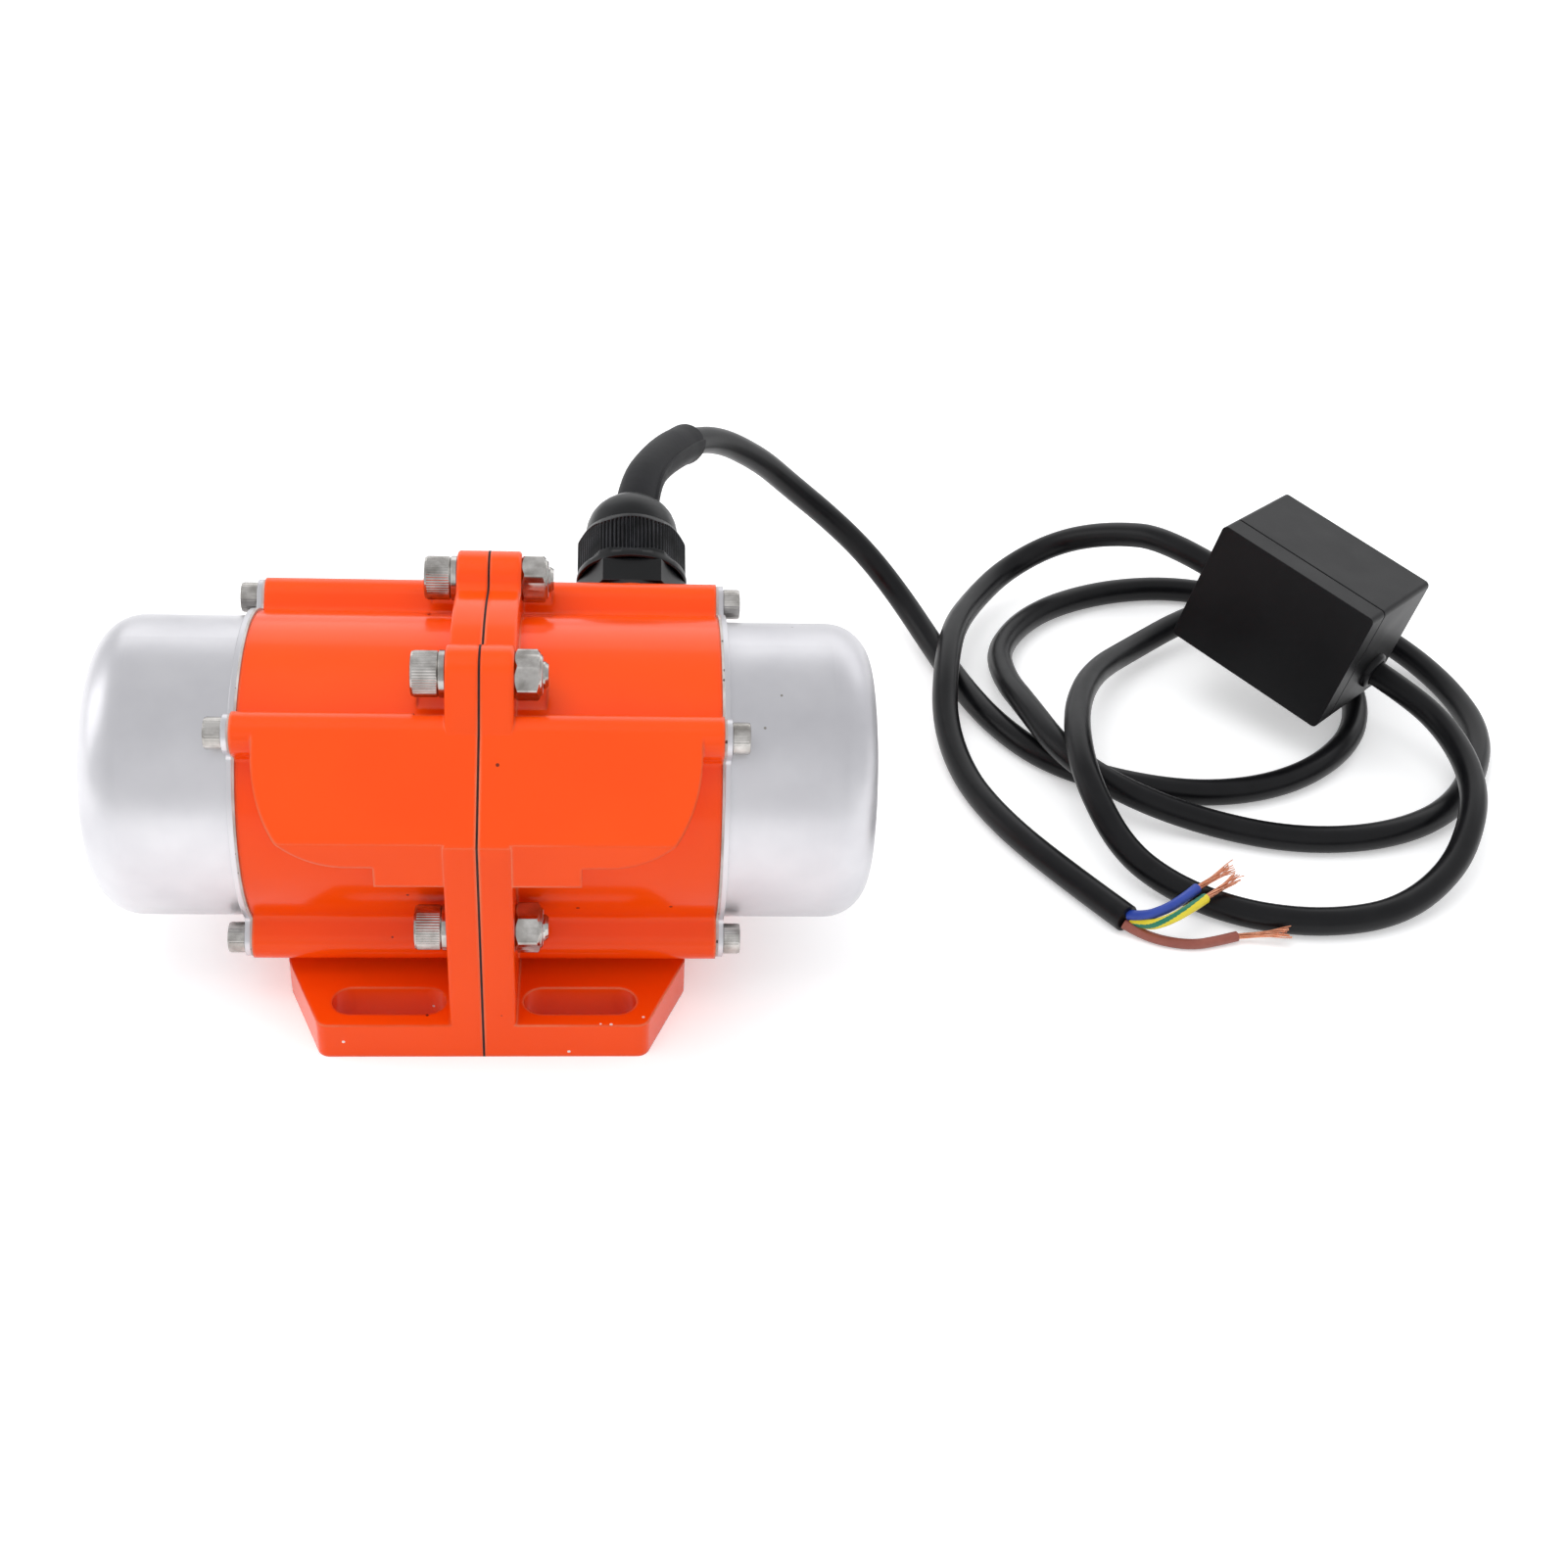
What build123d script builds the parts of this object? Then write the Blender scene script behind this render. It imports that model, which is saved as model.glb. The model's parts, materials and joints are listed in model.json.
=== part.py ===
from build123d import *
from math import cos, hypot, pi, radians, sin, sqrt, tan
import os

os.makedirs("parts", exist_ok=True)

# A vibration motor: two flanged housing halves bolted together, steel end caps over
# eccentric weights, a cable gland, a capacitor box on the cable and a supply lead.
# Millimetres. The origin lies under the middle of the feet, X runs along the shaft,
# Z points up, and the viewer of the front stands at -Y.

# Housing
shaft_height = 45.3
half_depth = 49.0
bore_radius = 31.5
barrel_radius = bore_radius + 4.0
barrel_end = 52.2
bore_end = barrel_end - 5.2
joint_thickness = 0.5
end_boss_radius = 22.0

# Lobes for the cap screws
screw_circle = barrel_radius + 4.1
lobe_radius = 4.7
lobe_fillet = 1.5
cap_screw_depth = 12.0

# Flange round the joint, with its four bolts
flange_half = 7.3
waist_radius = barrel_radius + 6.3
ear_radius = 6.4
ear_fillet = 3.0
flange_edge = 0.8
upper_bolt = (20.2, barrel_radius + 3.1)
lower_bolt = (barrel_radius + 4.5, -15.0)
bolt_clearance = 0.3
spot_face_radius = 9.2
spot_face_end = 14.0

# Pads on the front and the back
pad_face = half_depth - 0.5
pad_end = barrel_end - 4.7
pad_bottom = 8.0
pad_corner = 20.0
pad_step_end = 22.0
pad_step_bottom = 3.0

# Feet
foot_thickness = 9.3
foot_front_half = barrel_end - 15.9
foot_middle_half = barrel_end - 6.7
foot_shoulder = 26.5
foot_corner = 3.0
web_half_depth = 24.0
slot_start = flange_half + 1.35
slot_end = foot_front_half - 2.15
slot_row = half_depth - 8.3
slot_width = 9.0

# Metric screws: shank radius, head radius and head height
m6_shank = 3.0
m6_head = 5.0
m6_height = 6.0
m6_hexagon = 5.0
m6_washer_radius = 5.4
m6_washer_thickness = 1.5
m6_nut_across = 10.0
m6_nut_height = 6.0
m6_tip = 1.2
insert_radius = 4.0
insert_height = 1.6
m4_shank = 2.0
m4_head = 3.5
m4_height = 4.0
m4_hexagon = 3.0
clamp_shank = 2.5
clamp_head = 4.25
clamp_height = 5.0
clamp_hexagon = 4.0
socket_share = 0.55
head_chamfer = 0.4
fit = 0.03
thread_gap = 0.05

# End caps
cap_radius = screw_circle - m4_head - 1.8
cap_wall = 1.2
cap_rounding = 10.0
cap_plate = 1.2
cap_gasket = 0.5
cap_plate_radius = barrel_radius + 0.5
cap_clearance = 1.8
cap_lobe_radius = 4.2

# Stator and rotor
stator_half = barrel_end - 32.2
stator_inner = bore_radius - 13.9
slot_count = 12
stator_slot_middle = bore_radius - 8.0
stator_slot_depth = 7.0
stator_slot_width = 5.0
stator_mouth = 2.0
winding_gap = 0.1
winding_end = barrel_end - 18.2
winding_inner = stator_inner + 0.9
winding_outer = bore_radius - 3.0
winding_chamfer = 2.5
rotor_radius = stator_inner - 0.3
rotor_bar_count = 12
rotor_bar_circle = rotor_radius - 2.7
rotor_bar_radius = 1.4
cage_ring_end = stator_half + 4.0
cage_ring_inner = 11.5

# Shaft and what sits on it
shaft_radius = 8.5
journal_radius = 7.5
shaft_chamfer = 0.8
key_width = 5.0
key_bottom = 4.5
key_top = 9.9
key_margin = 1.0
ring_groove_radius = 7.0
ring_gap = 0.9
ring_thickness = 1.0
ring_outer = 9.4
ring_mouth = 5.0
shaft_stub = 1.1

# Ball bearings
bearing_width = 11.0
bearing_end = barrel_end - 1.7
bearing_radius = 17.5
bearing_outer_land = 14.4
bearing_inner_land = 10.8
ball_circle = 12.6
ball_radius = 2.95
ball_gap = 0.05
ball_count = 8
ball_cage_inner = 11.9
ball_cage_outer = 13.3
ball_cage_width = 8.4
seal_hole = 12.0
spacer_radius = 9.5
seal_gap = 0.06

# Eccentric weights
weight_radius = cap_radius - cap_wall - 3.1
weight_half_angle = 70.0
weight_hub = 14.0
weight_thickness = 13.0
weight_start = barrel_end + 2.8
weight_gap = 0.5
weight_fillet = 5.0
swivel_gap = 0.06
clamp_ear_half = 9.0
clamp_ear_top = 21.0
clamp_slit = 2.0
clamp_height_place = 16.0

# Cables
cable_radius = 3.6
cable_fit = 0.04
sleeve_radius = cable_radius + 1.8
core_radius = 1.3
core_straight = 3.6
strand_radius = 0.75
lying = cable_radius + 0.1

# Cable gland, measured outwards from the shaft axis along its own axis
gland_place = barrel_end - 19.7
gland_angle = 28.0
gland_thread_radius = 10.0
gland_thread_start = bore_radius
gland_boss_radius = gland_thread_radius + 2.4
gland_spot_radius = gland_thread_radius + 6.5
gland_spot_depth = 14.0
gland_boss_top = 43.0
gland_gasket_radius = gland_boss_radius - 0.2
gland_gasket_top = gland_boss_top + 1.0
gland_bore = cable_radius + 1.0
gland_across = 2 * gland_thread_radius + 4.0
gland_hexagon_top = gland_gasket_top + 6.0
gland_spigot_top = gland_hexagon_top + 10.0
gland_seal_pocket = gland_thread_radius - 2.0
nut_rim_top = gland_hexagon_top + 2.0
nut_rim_radius = gland_thread_radius + 3.4
nut_band_top = nut_rim_top + 11.0
nut_dome_radius = gland_thread_radius + 0.75
nut_dome_swell = 1.2
nut_top = nut_band_top + 10.0
nut_mouth = sleeve_radius + 0.3
nut_top_radius = nut_mouth + 1.2
nut_wall_top = gland_spigot_top + 1.2
cable_start = gland_thread_start - 1.5
sleeve_start = nut_wall_top + 0.4

# Capacitor box: its long way, its way up and the way its big face looks
box_length = 49.0
box_height = 37.0
box_depth = 37.0
box_lid = 7.6
box_wall = 2.0
box_edge = 1.5
box_seam = 0.35
box_cable_length = box_wall + 1.0
box_centre = Vector(220.2, 98.3, 32.9)
box_along = Vector(0.7097, -0.6741, -0.2049).normalized()
box_up_guess = Vector(0.224, -0.06, 0.973)
box_facing = box_along.cross(box_up_guess).normalized()
box_plane = Plane(origin=box_centre, x_dir=box_along, z_dir=box_facing)
box_cable_height = -7.0
box_cable_depth = -6.0
element_gap = 0.9
element_radius = (box_depth - box_lid) / 2 - box_wall - element_gap
element_length = box_length - 11.0

# Places along the shaft, from the weights outwards
adjustable_start = weight_start + weight_thickness + weight_gap
clamp_middle = adjustable_start + weight_thickness / 2
ring_place = adjustable_start + weight_thickness + ring_gap
shaft_end = ring_place + ring_thickness + shaft_stub
cap_length = shaft_end + cap_clearance + cap_wall

# Planes and axes that several pieces share
shaft_section = Plane(origin=(0, 0, shaft_height), x_dir=(1, 0, 0), z_dir=(0, -1, 0))
shaft_axis = Axis((0, 0, shaft_height), (1, 0, 0))
gland_direction = Vector(0, cos(radians(gland_angle)), sin(radians(gland_angle)))
gland_origin = Vector(gland_place, 0, shaft_height)
gland_section = Plane(
    origin=gland_origin, x_dir=(1, 0, 0), z_dir=Vector(1, 0, 0).cross(gland_direction)
)
gland_axis = Axis(gland_origin, gland_direction)
lobe_place = screw_circle / sqrt(2)
lobe_tip = (screw_circle + lobe_radius) / sqrt(2)
joint_face = joint_thickness / 2
flange_bolts = [
    (-upper_bolt[0], upper_bolt[1]),
    (upper_bolt[0], upper_bolt[1]),
    (-lower_bolt[0], lower_bolt[1]),
    (lower_bolt[0], lower_bolt[1]),
]
sides = {"left": -1, "right": 1}


def across(place):
    # plane square to the shaft, with its sketch x along Y
    return Plane(origin=(place, 0, shaft_height), x_dir=(0, 1, 0), z_dir=(1, 0, 0))


def gland_level(distance):
    # plane square to the gland's axis
    return Plane(
        origin=gland_origin + gland_direction * distance, x_dir=(1, 0, 0), z_dir=gland_direction
    )


def box_point(along, up, facing):
    return box_plane.from_local_coords(Vector(along, up, facing))


def save(piece, name):
    piece.label = name
    export_step(piece, f"parts/{name}.step")


def sleeve_round_shaft(inner, outer, start, end):
    # plain ring round the shaft between two places along it
    with BuildPart() as piece:
        with BuildSketch(across(start)):
            Circle(outer)
            Circle(inner, mode=Mode.SUBTRACT)
        extrude(amount=end - start)
    return piece.part


# Housing


def lobed_outline(body, lobe):
    # round body with four lobes for the cap screws
    with BuildSketch() as outline:
        Circle(body)
        with PolarLocations(screw_circle / 2, 4, start_angle=45):
            Rectangle(screw_circle, 2 * lobe)
        with PolarLocations(screw_circle, 4, start_angle=45):
            Circle(lobe)
        roots = outline.vertices().filter_by(lambda v: abs(hypot(v.X, v.Y) - body) < 0.01)
        fillet(roots, lobe_fillet)
    return outline.sketch


def bolt_ear(hand):
    # ear of the flange between an upper bolt and the lobe beside it
    with BuildSketch() as ear:
        with Locations((hand * upper_bolt[0], upper_bolt[1])):
            Circle(ear_radius)
        with Locations((hand * lobe_place, lobe_place)):
            Circle(lobe_radius)
        make_hull()
    return ear.sketch


def flange_outline():
    # slanting faces lie against the tips of the lobes
    crease = 2 * lobe_tip - half_depth
    ears = [bolt_ear(-1), bolt_ear(1)]
    with BuildSketch() as outline:
        Circle(waist_radius)
        with Locations((0, (crease - shaft_height) / 2)):
            Rectangle(2 * half_depth, crease + shaft_height)
        with BuildLine():
            Polyline(
                (-half_depth, crease), (-lobe_tip, lobe_tip), (lobe_tip, lobe_tip), (half_depth, crease),
                close=True,
            )
        make_face()
        add(ears)
        waists = outline.vertices().filter_by(
            lambda v: abs(hypot(v.X, v.Y) - waist_radius) < 0.01
        )
        fillet(waists, ear_fillet)
    return outline.sketch


def flange_half_plate(side):
    outline = flange_outline()
    with BuildPart() as plate:
        with BuildSketch(across(side * joint_face)):
            add(outline)
        extrude(amount=side * (flange_half - joint_face))
        outer_face = plate.faces().sort_by(Axis.X)[0 if side < 0 else -1]
        rim = outer_face.edges().filter_by(lambda e: e.center().Z > 2 * foot_thickness)
        fillet(rim, flange_edge)
    return plate.part


def front_pad(side):
    # block below the front lobe: its slanting face touches the tip of the lobe
    with BuildPart() as pad:
        with BuildSketch(across(side * joint_face)):
            with BuildLine():
                Polyline(
                    (-lobe_tip, lobe_tip),
                    (-pad_face, 2 * lobe_tip - pad_face),
                    (-pad_face, pad_step_bottom),
                    (-bore_radius + pad_step_bottom, pad_step_bottom),
                    (-lobe_place + lobe_radius, lobe_place - lobe_radius),
                    close=True,
                )
            make_face()
        extrude(amount=side * (pad_end - joint_face))
        with BuildSketch(shaft_section):
            corner_start = pad_end - pad_corner
            corner_middle = pad_corner * (1 - sqrt(0.5))
            with BuildLine():
                Polyline(
                    (side * pad_end, pad_bottom + pad_corner),
                    (side * pad_end, half_depth),
                    (0, half_depth),
                    (0, pad_step_bottom),
                    (side * pad_step_end, pad_step_bottom),
                    (side * pad_step_end, pad_bottom),
                    (side * corner_start, pad_bottom),
                )
                ThreePointArc(
                    (side * corner_start, pad_bottom),
                    (side * (pad_end - corner_middle), pad_bottom + corner_middle),
                    (side * pad_end, pad_bottom + pad_corner),
                )
            make_face()
        extrude(amount=2 * half_depth, both=True, mode=Mode.INTERSECT)
    return pad.part


def foot(side):
    with BuildPart() as slab:
        with BuildSketch() as plan:
            with BuildLine():
                Polyline(
                    (side * joint_face, -half_depth),
                    (side * foot_front_half, -half_depth),
                    (side * foot_middle_half, -foot_shoulder),
                    (side * foot_middle_half, foot_shoulder),
                    (side * foot_front_half, half_depth),
                    (side * joint_face, half_depth),
                    close=True,
                )
            make_face()
            fillet(plan.vertices().filter_by(lambda v: abs(v.X) > flange_half), foot_corner)
        extrude(amount=foot_thickness)
        with BuildSketch():
            slot_middle = side * (slot_start + slot_end) / 2
            with Locations((slot_middle, -slot_row), (slot_middle, slot_row)):
                SlotOverall(slot_end - slot_start, slot_width)
        extrude(amount=foot_thickness, mode=Mode.SUBTRACT)
    return slab.part


def housing_half(side, with_gland):
    pad = front_pad(side)
    body_outline = lobed_outline(barrel_radius, lobe_radius)
    with BuildPart() as half:
        add(flange_half_plate(side))
        add(pad)
        mirror(pad, about=Plane.XZ)
        add(foot(side))
        with BuildSketch(across(side * joint_face)):
            add(body_outline)
        extrude(amount=side * (barrel_end - joint_face))
        # web between the feet and the barrel
        with BuildSketch(Plane.XY.offset(foot_thickness)):
            with Locations((side * (foot_middle_half + joint_face) / 2, 0)):
                Rectangle(foot_middle_half - joint_face, 2 * web_half_depth)
        extrude(amount=shaft_height - foot_thickness - sqrt(barrel_radius**2 - web_half_depth**2))
        # spot faces beside the upper bolts
        with BuildSketch(across(side * flange_half)):
            with Locations(*flange_bolts[:2]):
                Circle(spot_face_radius)
        extrude(amount=side * (spot_face_end - flange_half), mode=Mode.SUBTRACT)
        if with_gland:
            with BuildSketch(gland_level(bore_radius - lobe_radius)):
                Circle(gland_boss_radius)
            extrude(amount=gland_boss_top - bore_radius + lobe_radius)
            with BuildSketch(gland_level(gland_boss_top)):
                Circle(gland_spot_radius)
            extrude(amount=gland_spot_depth, mode=Mode.SUBTRACT)
            with BuildSketch(gland_level(gland_boss_top)):
                Circle(gland_thread_radius + thread_gap)
            extrude(amount=-gland_boss_top + bore_radius - lobe_radius, mode=Mode.SUBTRACT)
        # bore, bearing seat and seal hole
        with BuildSketch(shaft_section):
            with BuildLine():
                Polyline(
                    (0, 0),
                    (0, bore_radius),
                    (side * bore_end, bore_radius),
                    (side * bore_end, end_boss_radius),
                    (side * (bearing_end - bearing_width - joint_thickness), end_boss_radius),
                    (side * (bearing_end - bearing_width - joint_thickness), bearing_radius + fit),
                    (side * bearing_end, bearing_radius + fit),
                    (side * bearing_end, seal_hole),
                    (side * barrel_end, seal_hole),
                    (side * barrel_end, 0),
                    close=True,
                )
            make_face()
        revolve(axis=shaft_axis, mode=Mode.SUBTRACT)
        with BuildSketch(across(side * barrel_end)):
            with PolarLocations(screw_circle, 4, start_angle=45):
                Circle(m4_shank + thread_gap)
        extrude(amount=-side * cap_screw_depth, mode=Mode.SUBTRACT)
        with BuildSketch(across(side * flange_half)):
            with Locations(*flange_bolts):
                Circle(m6_shank + bolt_clearance)
        extrude(amount=-side * flange_half, mode=Mode.SUBTRACT)
    return half.part


save(housing_half(-1, False), "housing_left")
save(housing_half(1, True), "housing_right")

with BuildPart() as joint_gasket:
    with BuildSketch(across(-joint_face)):
        add(flange_outline())
        Circle(bore_radius, mode=Mode.SUBTRACT)
        with Locations(*flange_bolts):
            Circle(m6_shank + bolt_clearance, mode=Mode.SUBTRACT)
    extrude(amount=joint_thickness)
save(joint_gasket.part, "joint_gasket")


# End caps and their screws


def end_cap(side):
    plate_start = barrel_end + cap_gasket
    plate_outline = lobed_outline(cap_plate_radius, cap_lobe_radius)
    with BuildPart() as cap:
        with BuildSketch(shaft_section) as profile:
            with BuildLine():
                Polyline(
                    (side * plate_start, 0),
                    (side * plate_start, cap_radius),
                    (side * cap_length, cap_radius),
                    (side * cap_length, 0),
                    close=True,
                )
            make_face()
            fillet(profile.vertices().sort_by(lambda v: abs(v.X) + v.Y)[-1], cap_rounding)
        revolve(axis=shaft_axis)
        open_end = cap.faces().sort_by(Axis.X)[-1 if side < 0 else 0]
        offset(amount=-cap_wall, openings=open_end)
        with BuildSketch(across(side * plate_start)):
            add(plate_outline)
            Circle(cap_radius - cap_wall, mode=Mode.SUBTRACT)
            with PolarLocations(screw_circle, 4, start_angle=45):
                Circle(m4_shank + bolt_clearance / 2, mode=Mode.SUBTRACT)
        extrude(amount=side * cap_plate)
    return cap.part


def cap_gasket_ring(side):
    ring_outline = lobed_outline(cap_plate_radius, cap_lobe_radius)
    with BuildPart() as gasket:
        with BuildSketch(across(side * barrel_end)):
            add(ring_outline)
            Circle(cap_radius - cap_wall, mode=Mode.SUBTRACT)
            with PolarLocations(screw_circle, 4, start_angle=45):
                Circle(m4_shank + bolt_clearance / 2, mode=Mode.SUBTRACT)
        extrude(amount=side * cap_gasket)
    return gasket.part


def cap_screws(side):
    seat = barrel_end + cap_gasket + cap_plate
    with BuildPart() as screws:
        with BuildSketch(across(side * seat)):
            with PolarLocations(screw_circle, 4, start_angle=45):
                Circle(m4_head)
        extrude(amount=side * m4_height)
        tops = screws.faces().filter_by(Axis.X).group_by(Axis.X)[0 if side < 0 else -1]
        chamfer(tops.edges(), head_chamfer)
        with BuildSketch(across(side * (seat + m4_height))):
            with PolarLocations(screw_circle, 4, start_angle=45):
                RegularPolygon(m4_hexagon / 2, 6, major_radius=False)
        extrude(amount=-side * socket_share * m4_height, mode=Mode.SUBTRACT)
        with BuildSketch(across(side * seat)):
            with PolarLocations(screw_circle, 4, start_angle=45):
                Circle(m4_shank)
        extrude(amount=-side * (seat - barrel_end + cap_screw_depth - thread_gap))
    return screws.part


for name, side in sides.items():
    save(end_cap(side), f"end_cap_{name}")
    save(cap_gasket_ring(side), f"cap_gasket_{name}")
    save(cap_screws(side), f"cap_screws_{name}")


# Flange bolts, seen with their heads on the left and their lock nuts on the right
bolt_seat = flange_half + m6_washer_thickness
with BuildPart() as flange_bolt_set:
    with BuildSketch(across(-bolt_seat)):
        with Locations(*flange_bolts):
            Circle(m6_head)
    extrude(amount=-m6_height)
    head_tops = flange_bolt_set.faces().filter_by(Axis.X).group_by(Axis.X)[0]
    chamfer(head_tops.edges(), head_chamfer)
    with BuildSketch(across(-bolt_seat - m6_height)):
        with Locations(*flange_bolts):
            RegularPolygon(m6_hexagon / 2, 6, major_radius=False)
    extrude(amount=socket_share * m6_height, mode=Mode.SUBTRACT)
    with BuildSketch(across(-bolt_seat)):
        with Locations(*flange_bolts):
            Circle(m6_shank)
    extrude(amount=bolt_seat + flange_half + m6_nut_height + m6_tip)
save(flange_bolt_set.part, "flange_bolts")

with BuildPart() as lock_washers:
    with BuildSketch(across(-flange_half)):
        with Locations(*flange_bolts):
            Circle(m6_washer_radius)
            Circle(m6_shank + thread_gap, mode=Mode.SUBTRACT)
    extrude(amount=-m6_washer_thickness)
    # each spring washer is split
    with BuildSketch(across(-flange_half)):
        with Locations(*[(y, z + m6_shank + m6_washer_radius / 4) for y, z in flange_bolts]):
            Rectangle(bolt_clearance, m6_washer_radius, rotation=15)
    extrude(amount=-m6_washer_thickness, mode=Mode.SUBTRACT)
save(lock_washers.part, "lock_washers")

with BuildPart() as flange_nuts:
    with BuildSketch(across(flange_half)):
        with Locations(*flange_bolts):
            RegularPolygon(m6_nut_across / 2, 6, major_radius=False)
    extrude(amount=m6_nut_height - insert_height)
    with BuildSketch(across(flange_half + m6_nut_height - insert_height)):
        with Locations(*flange_bolts):
            Circle(m6_nut_across / 2)
    extrude(amount=insert_height)
    with BuildSketch(across(flange_half)):
        with Locations(*flange_bolts):
            Circle(m6_shank + thread_gap)
    extrude(amount=m6_nut_height, mode=Mode.SUBTRACT)
    with BuildSketch(across(flange_half + m6_nut_height - insert_height)):
        with Locations(*flange_bolts):
            Circle(insert_radius)
    extrude(amount=insert_height, mode=Mode.SUBTRACT)
save(flange_nuts.part, "flange_nuts")

with BuildPart() as nut_inserts:
    with BuildSketch(across(flange_half + m6_nut_height - insert_height)):
        with Locations(*flange_bolts):
            Circle(insert_radius)
            Circle(m6_shank + fit, mode=Mode.SUBTRACT)
    extrude(amount=insert_height)
save(nut_inserts.part, "nut_inserts")


# Stator
with BuildPart() as stator_core:
    with BuildSketch(across(-stator_half)):
        Circle(bore_radius - thread_gap)
        Circle(stator_inner, mode=Mode.SUBTRACT)
        with PolarLocations(stator_slot_middle, slot_count):
            Rectangle(stator_slot_depth, stator_slot_width, mode=Mode.SUBTRACT)
        with PolarLocations(stator_inner, slot_count):
            Rectangle(stator_slot_depth, stator_mouth, mode=Mode.SUBTRACT)
    extrude(amount=2 * stator_half)
save(stator_core.part, "stator_core")

with BuildPart() as stator_windings:
    head_start = stator_half + winding_gap
    with BuildSketch(shaft_section) as head:
        with Locations(((head_start + winding_end) / 2, (winding_inner + winding_outer) / 2)):
            Rectangle(winding_end - head_start, winding_outer - winding_inner)
        chamfer(head.vertices(), winding_chamfer)
    revolve(axis=shaft_axis)
    mirror(about=Plane.YZ)
    with BuildSketch(across(-head_start - winding_chamfer)):
        with PolarLocations(stator_slot_middle, slot_count):
            Rectangle(stator_slot_depth - 2 * winding_gap, stator_slot_width - 2 * winding_gap)
    extrude(amount=2 * (head_start + winding_chamfer))
save(stator_windings.part, "stator_windings")


# Rotor
with BuildPart() as rotor_core:
    with BuildSketch(across(-stator_half)):
        Circle(rotor_radius)
        Circle(shaft_radius + fit, mode=Mode.SUBTRACT)
        with PolarLocations(rotor_bar_circle, rotor_bar_count):
            Circle(rotor_bar_radius + fit, mode=Mode.SUBTRACT)
    extrude(amount=2 * stator_half)
save(rotor_core.part, "rotor_core")

with BuildPart() as rotor_cage:
    with BuildSketch(across(stator_half)):
        Circle(rotor_radius - winding_gap)
        Circle(cage_ring_inner, mode=Mode.SUBTRACT)
    extrude(amount=cage_ring_end - stator_half)
    mirror(about=Plane.YZ)
    with BuildSketch(across(-cage_ring_end)):
        with PolarLocations(rotor_bar_circle, rotor_bar_count):
            Circle(rotor_bar_radius)
    extrude(amount=2 * cage_ring_end)
save(rotor_cage.part, "rotor_cage")

bearing_start = bearing_end - bearing_width
key_start = weight_start + key_margin
key_length = weight_thickness - 2 * key_margin
key_middle = key_start + key_length / 2
with BuildPart() as shaft:
    with BuildSketch(shaft_section) as shaft_profile:
        with BuildLine():
            Polyline(
                (0, 0),
                (0, shaft_radius),
                (bearing_start, shaft_radius),
                (bearing_start, journal_radius),
                (ring_place - fit, journal_radius),
                (ring_place - fit, ring_groove_radius),
                (ring_place + ring_thickness + fit, ring_groove_radius),
                (ring_place + ring_thickness + fit, journal_radius),
                (shaft_end - shaft_chamfer, journal_radius),
                (shaft_end, journal_radius - shaft_chamfer),
                (shaft_end, 0),
                close=True,
            )
        make_face()
    revolve(axis=shaft_axis)
    mirror(about=Plane.YZ)
    # keyseats
    with BuildSketch(Plane.XY.offset(shaft_height + key_bottom)):
        with Locations((-key_middle, 0), (key_middle, 0)):
            Rectangle(key_length + 2 * fit, key_width + 2 * fit)
    extrude(amount=journal_radius, mode=Mode.SUBTRACT)
save(shaft.part, "shaft")

with BuildPart() as shaft_keys:
    with BuildSketch(Plane.XY.offset(shaft_height + key_bottom + fit)):
        with Locations((-key_middle, 0), (key_middle, 0)):
            Rectangle(key_length, key_width)
    extrude(amount=key_top - key_bottom - fit)
save(shaft_keys.part, "shaft_keys")

with BuildPart() as retaining_rings:
    with BuildSketch(across(ring_place)):
        Circle(ring_outer)
        Circle(ring_groove_radius + fit, mode=Mode.SUBTRACT)
        with Locations((0, ring_outer)):
            Rectangle(ring_mouth, ring_outer, mode=Mode.SUBTRACT)
    extrude(amount=ring_thickness)
    mirror(about=Plane.YZ)
save(retaining_rings.part, "retaining_rings")


# Ball bearings


def bearing_race(side, inner, outer):
    with BuildPart() as race:
        with BuildSketch(shaft_section):
            with Locations((side * (bearing_start + bearing_width / 2), (inner + outer) / 2)):
                Rectangle(bearing_width, outer - inner)
            with Locations((side * (bearing_start + bearing_width / 2), ball_circle)):
                Circle(ball_radius + ball_gap, mode=Mode.SUBTRACT)
        revolve(axis=shaft_axis)
    return race.part


def bearing_cage(side):
    with BuildPart() as cage:
        middle = side * (bearing_start + bearing_width / 2)
        with BuildSketch(across(middle)):
            Circle(ball_cage_outer)
            Circle(ball_cage_inner, mode=Mode.SUBTRACT)
        extrude(amount=ball_cage_width / 2, both=True)
        with Locations(across(middle)):
            with PolarLocations(ball_circle, ball_count):
                Cylinder(
                    ball_radius + ball_gap, 2 * ball_radius, rotation=(0, 90, 0), mode=Mode.SUBTRACT
                )
    return cage.part


def bearing_balls(side):
    with BuildPart() as balls:
        with Locations(across(side * (bearing_start + bearing_width / 2))):
            with PolarLocations(ball_circle, ball_count):
                Sphere(ball_radius)
    return balls.part


for name, side in sides.items():
    save(bearing_race(side, bearing_outer_land, bearing_radius), f"bearing_outer_{name}")
    save(bearing_race(side, journal_radius + fit, bearing_inner_land), f"bearing_inner_{name}")
    save(bearing_cage(side), f"bearing_cage_{name}")
    save(bearing_balls(side), f"bearing_balls_{name}")
    seal = sleeve_round_shaft(
        spacer_radius + seal_gap, seal_hole - fit, side * bearing_end, side * barrel_end
    )
    save(seal, f"shaft_seal_{name}")
    spacer = sleeve_round_shaft(
        journal_radius + fit, spacer_radius, side * bearing_end, side * weight_start
    )
    save(spacer, f"spacer_{name}")


# Eccentric weights


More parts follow.
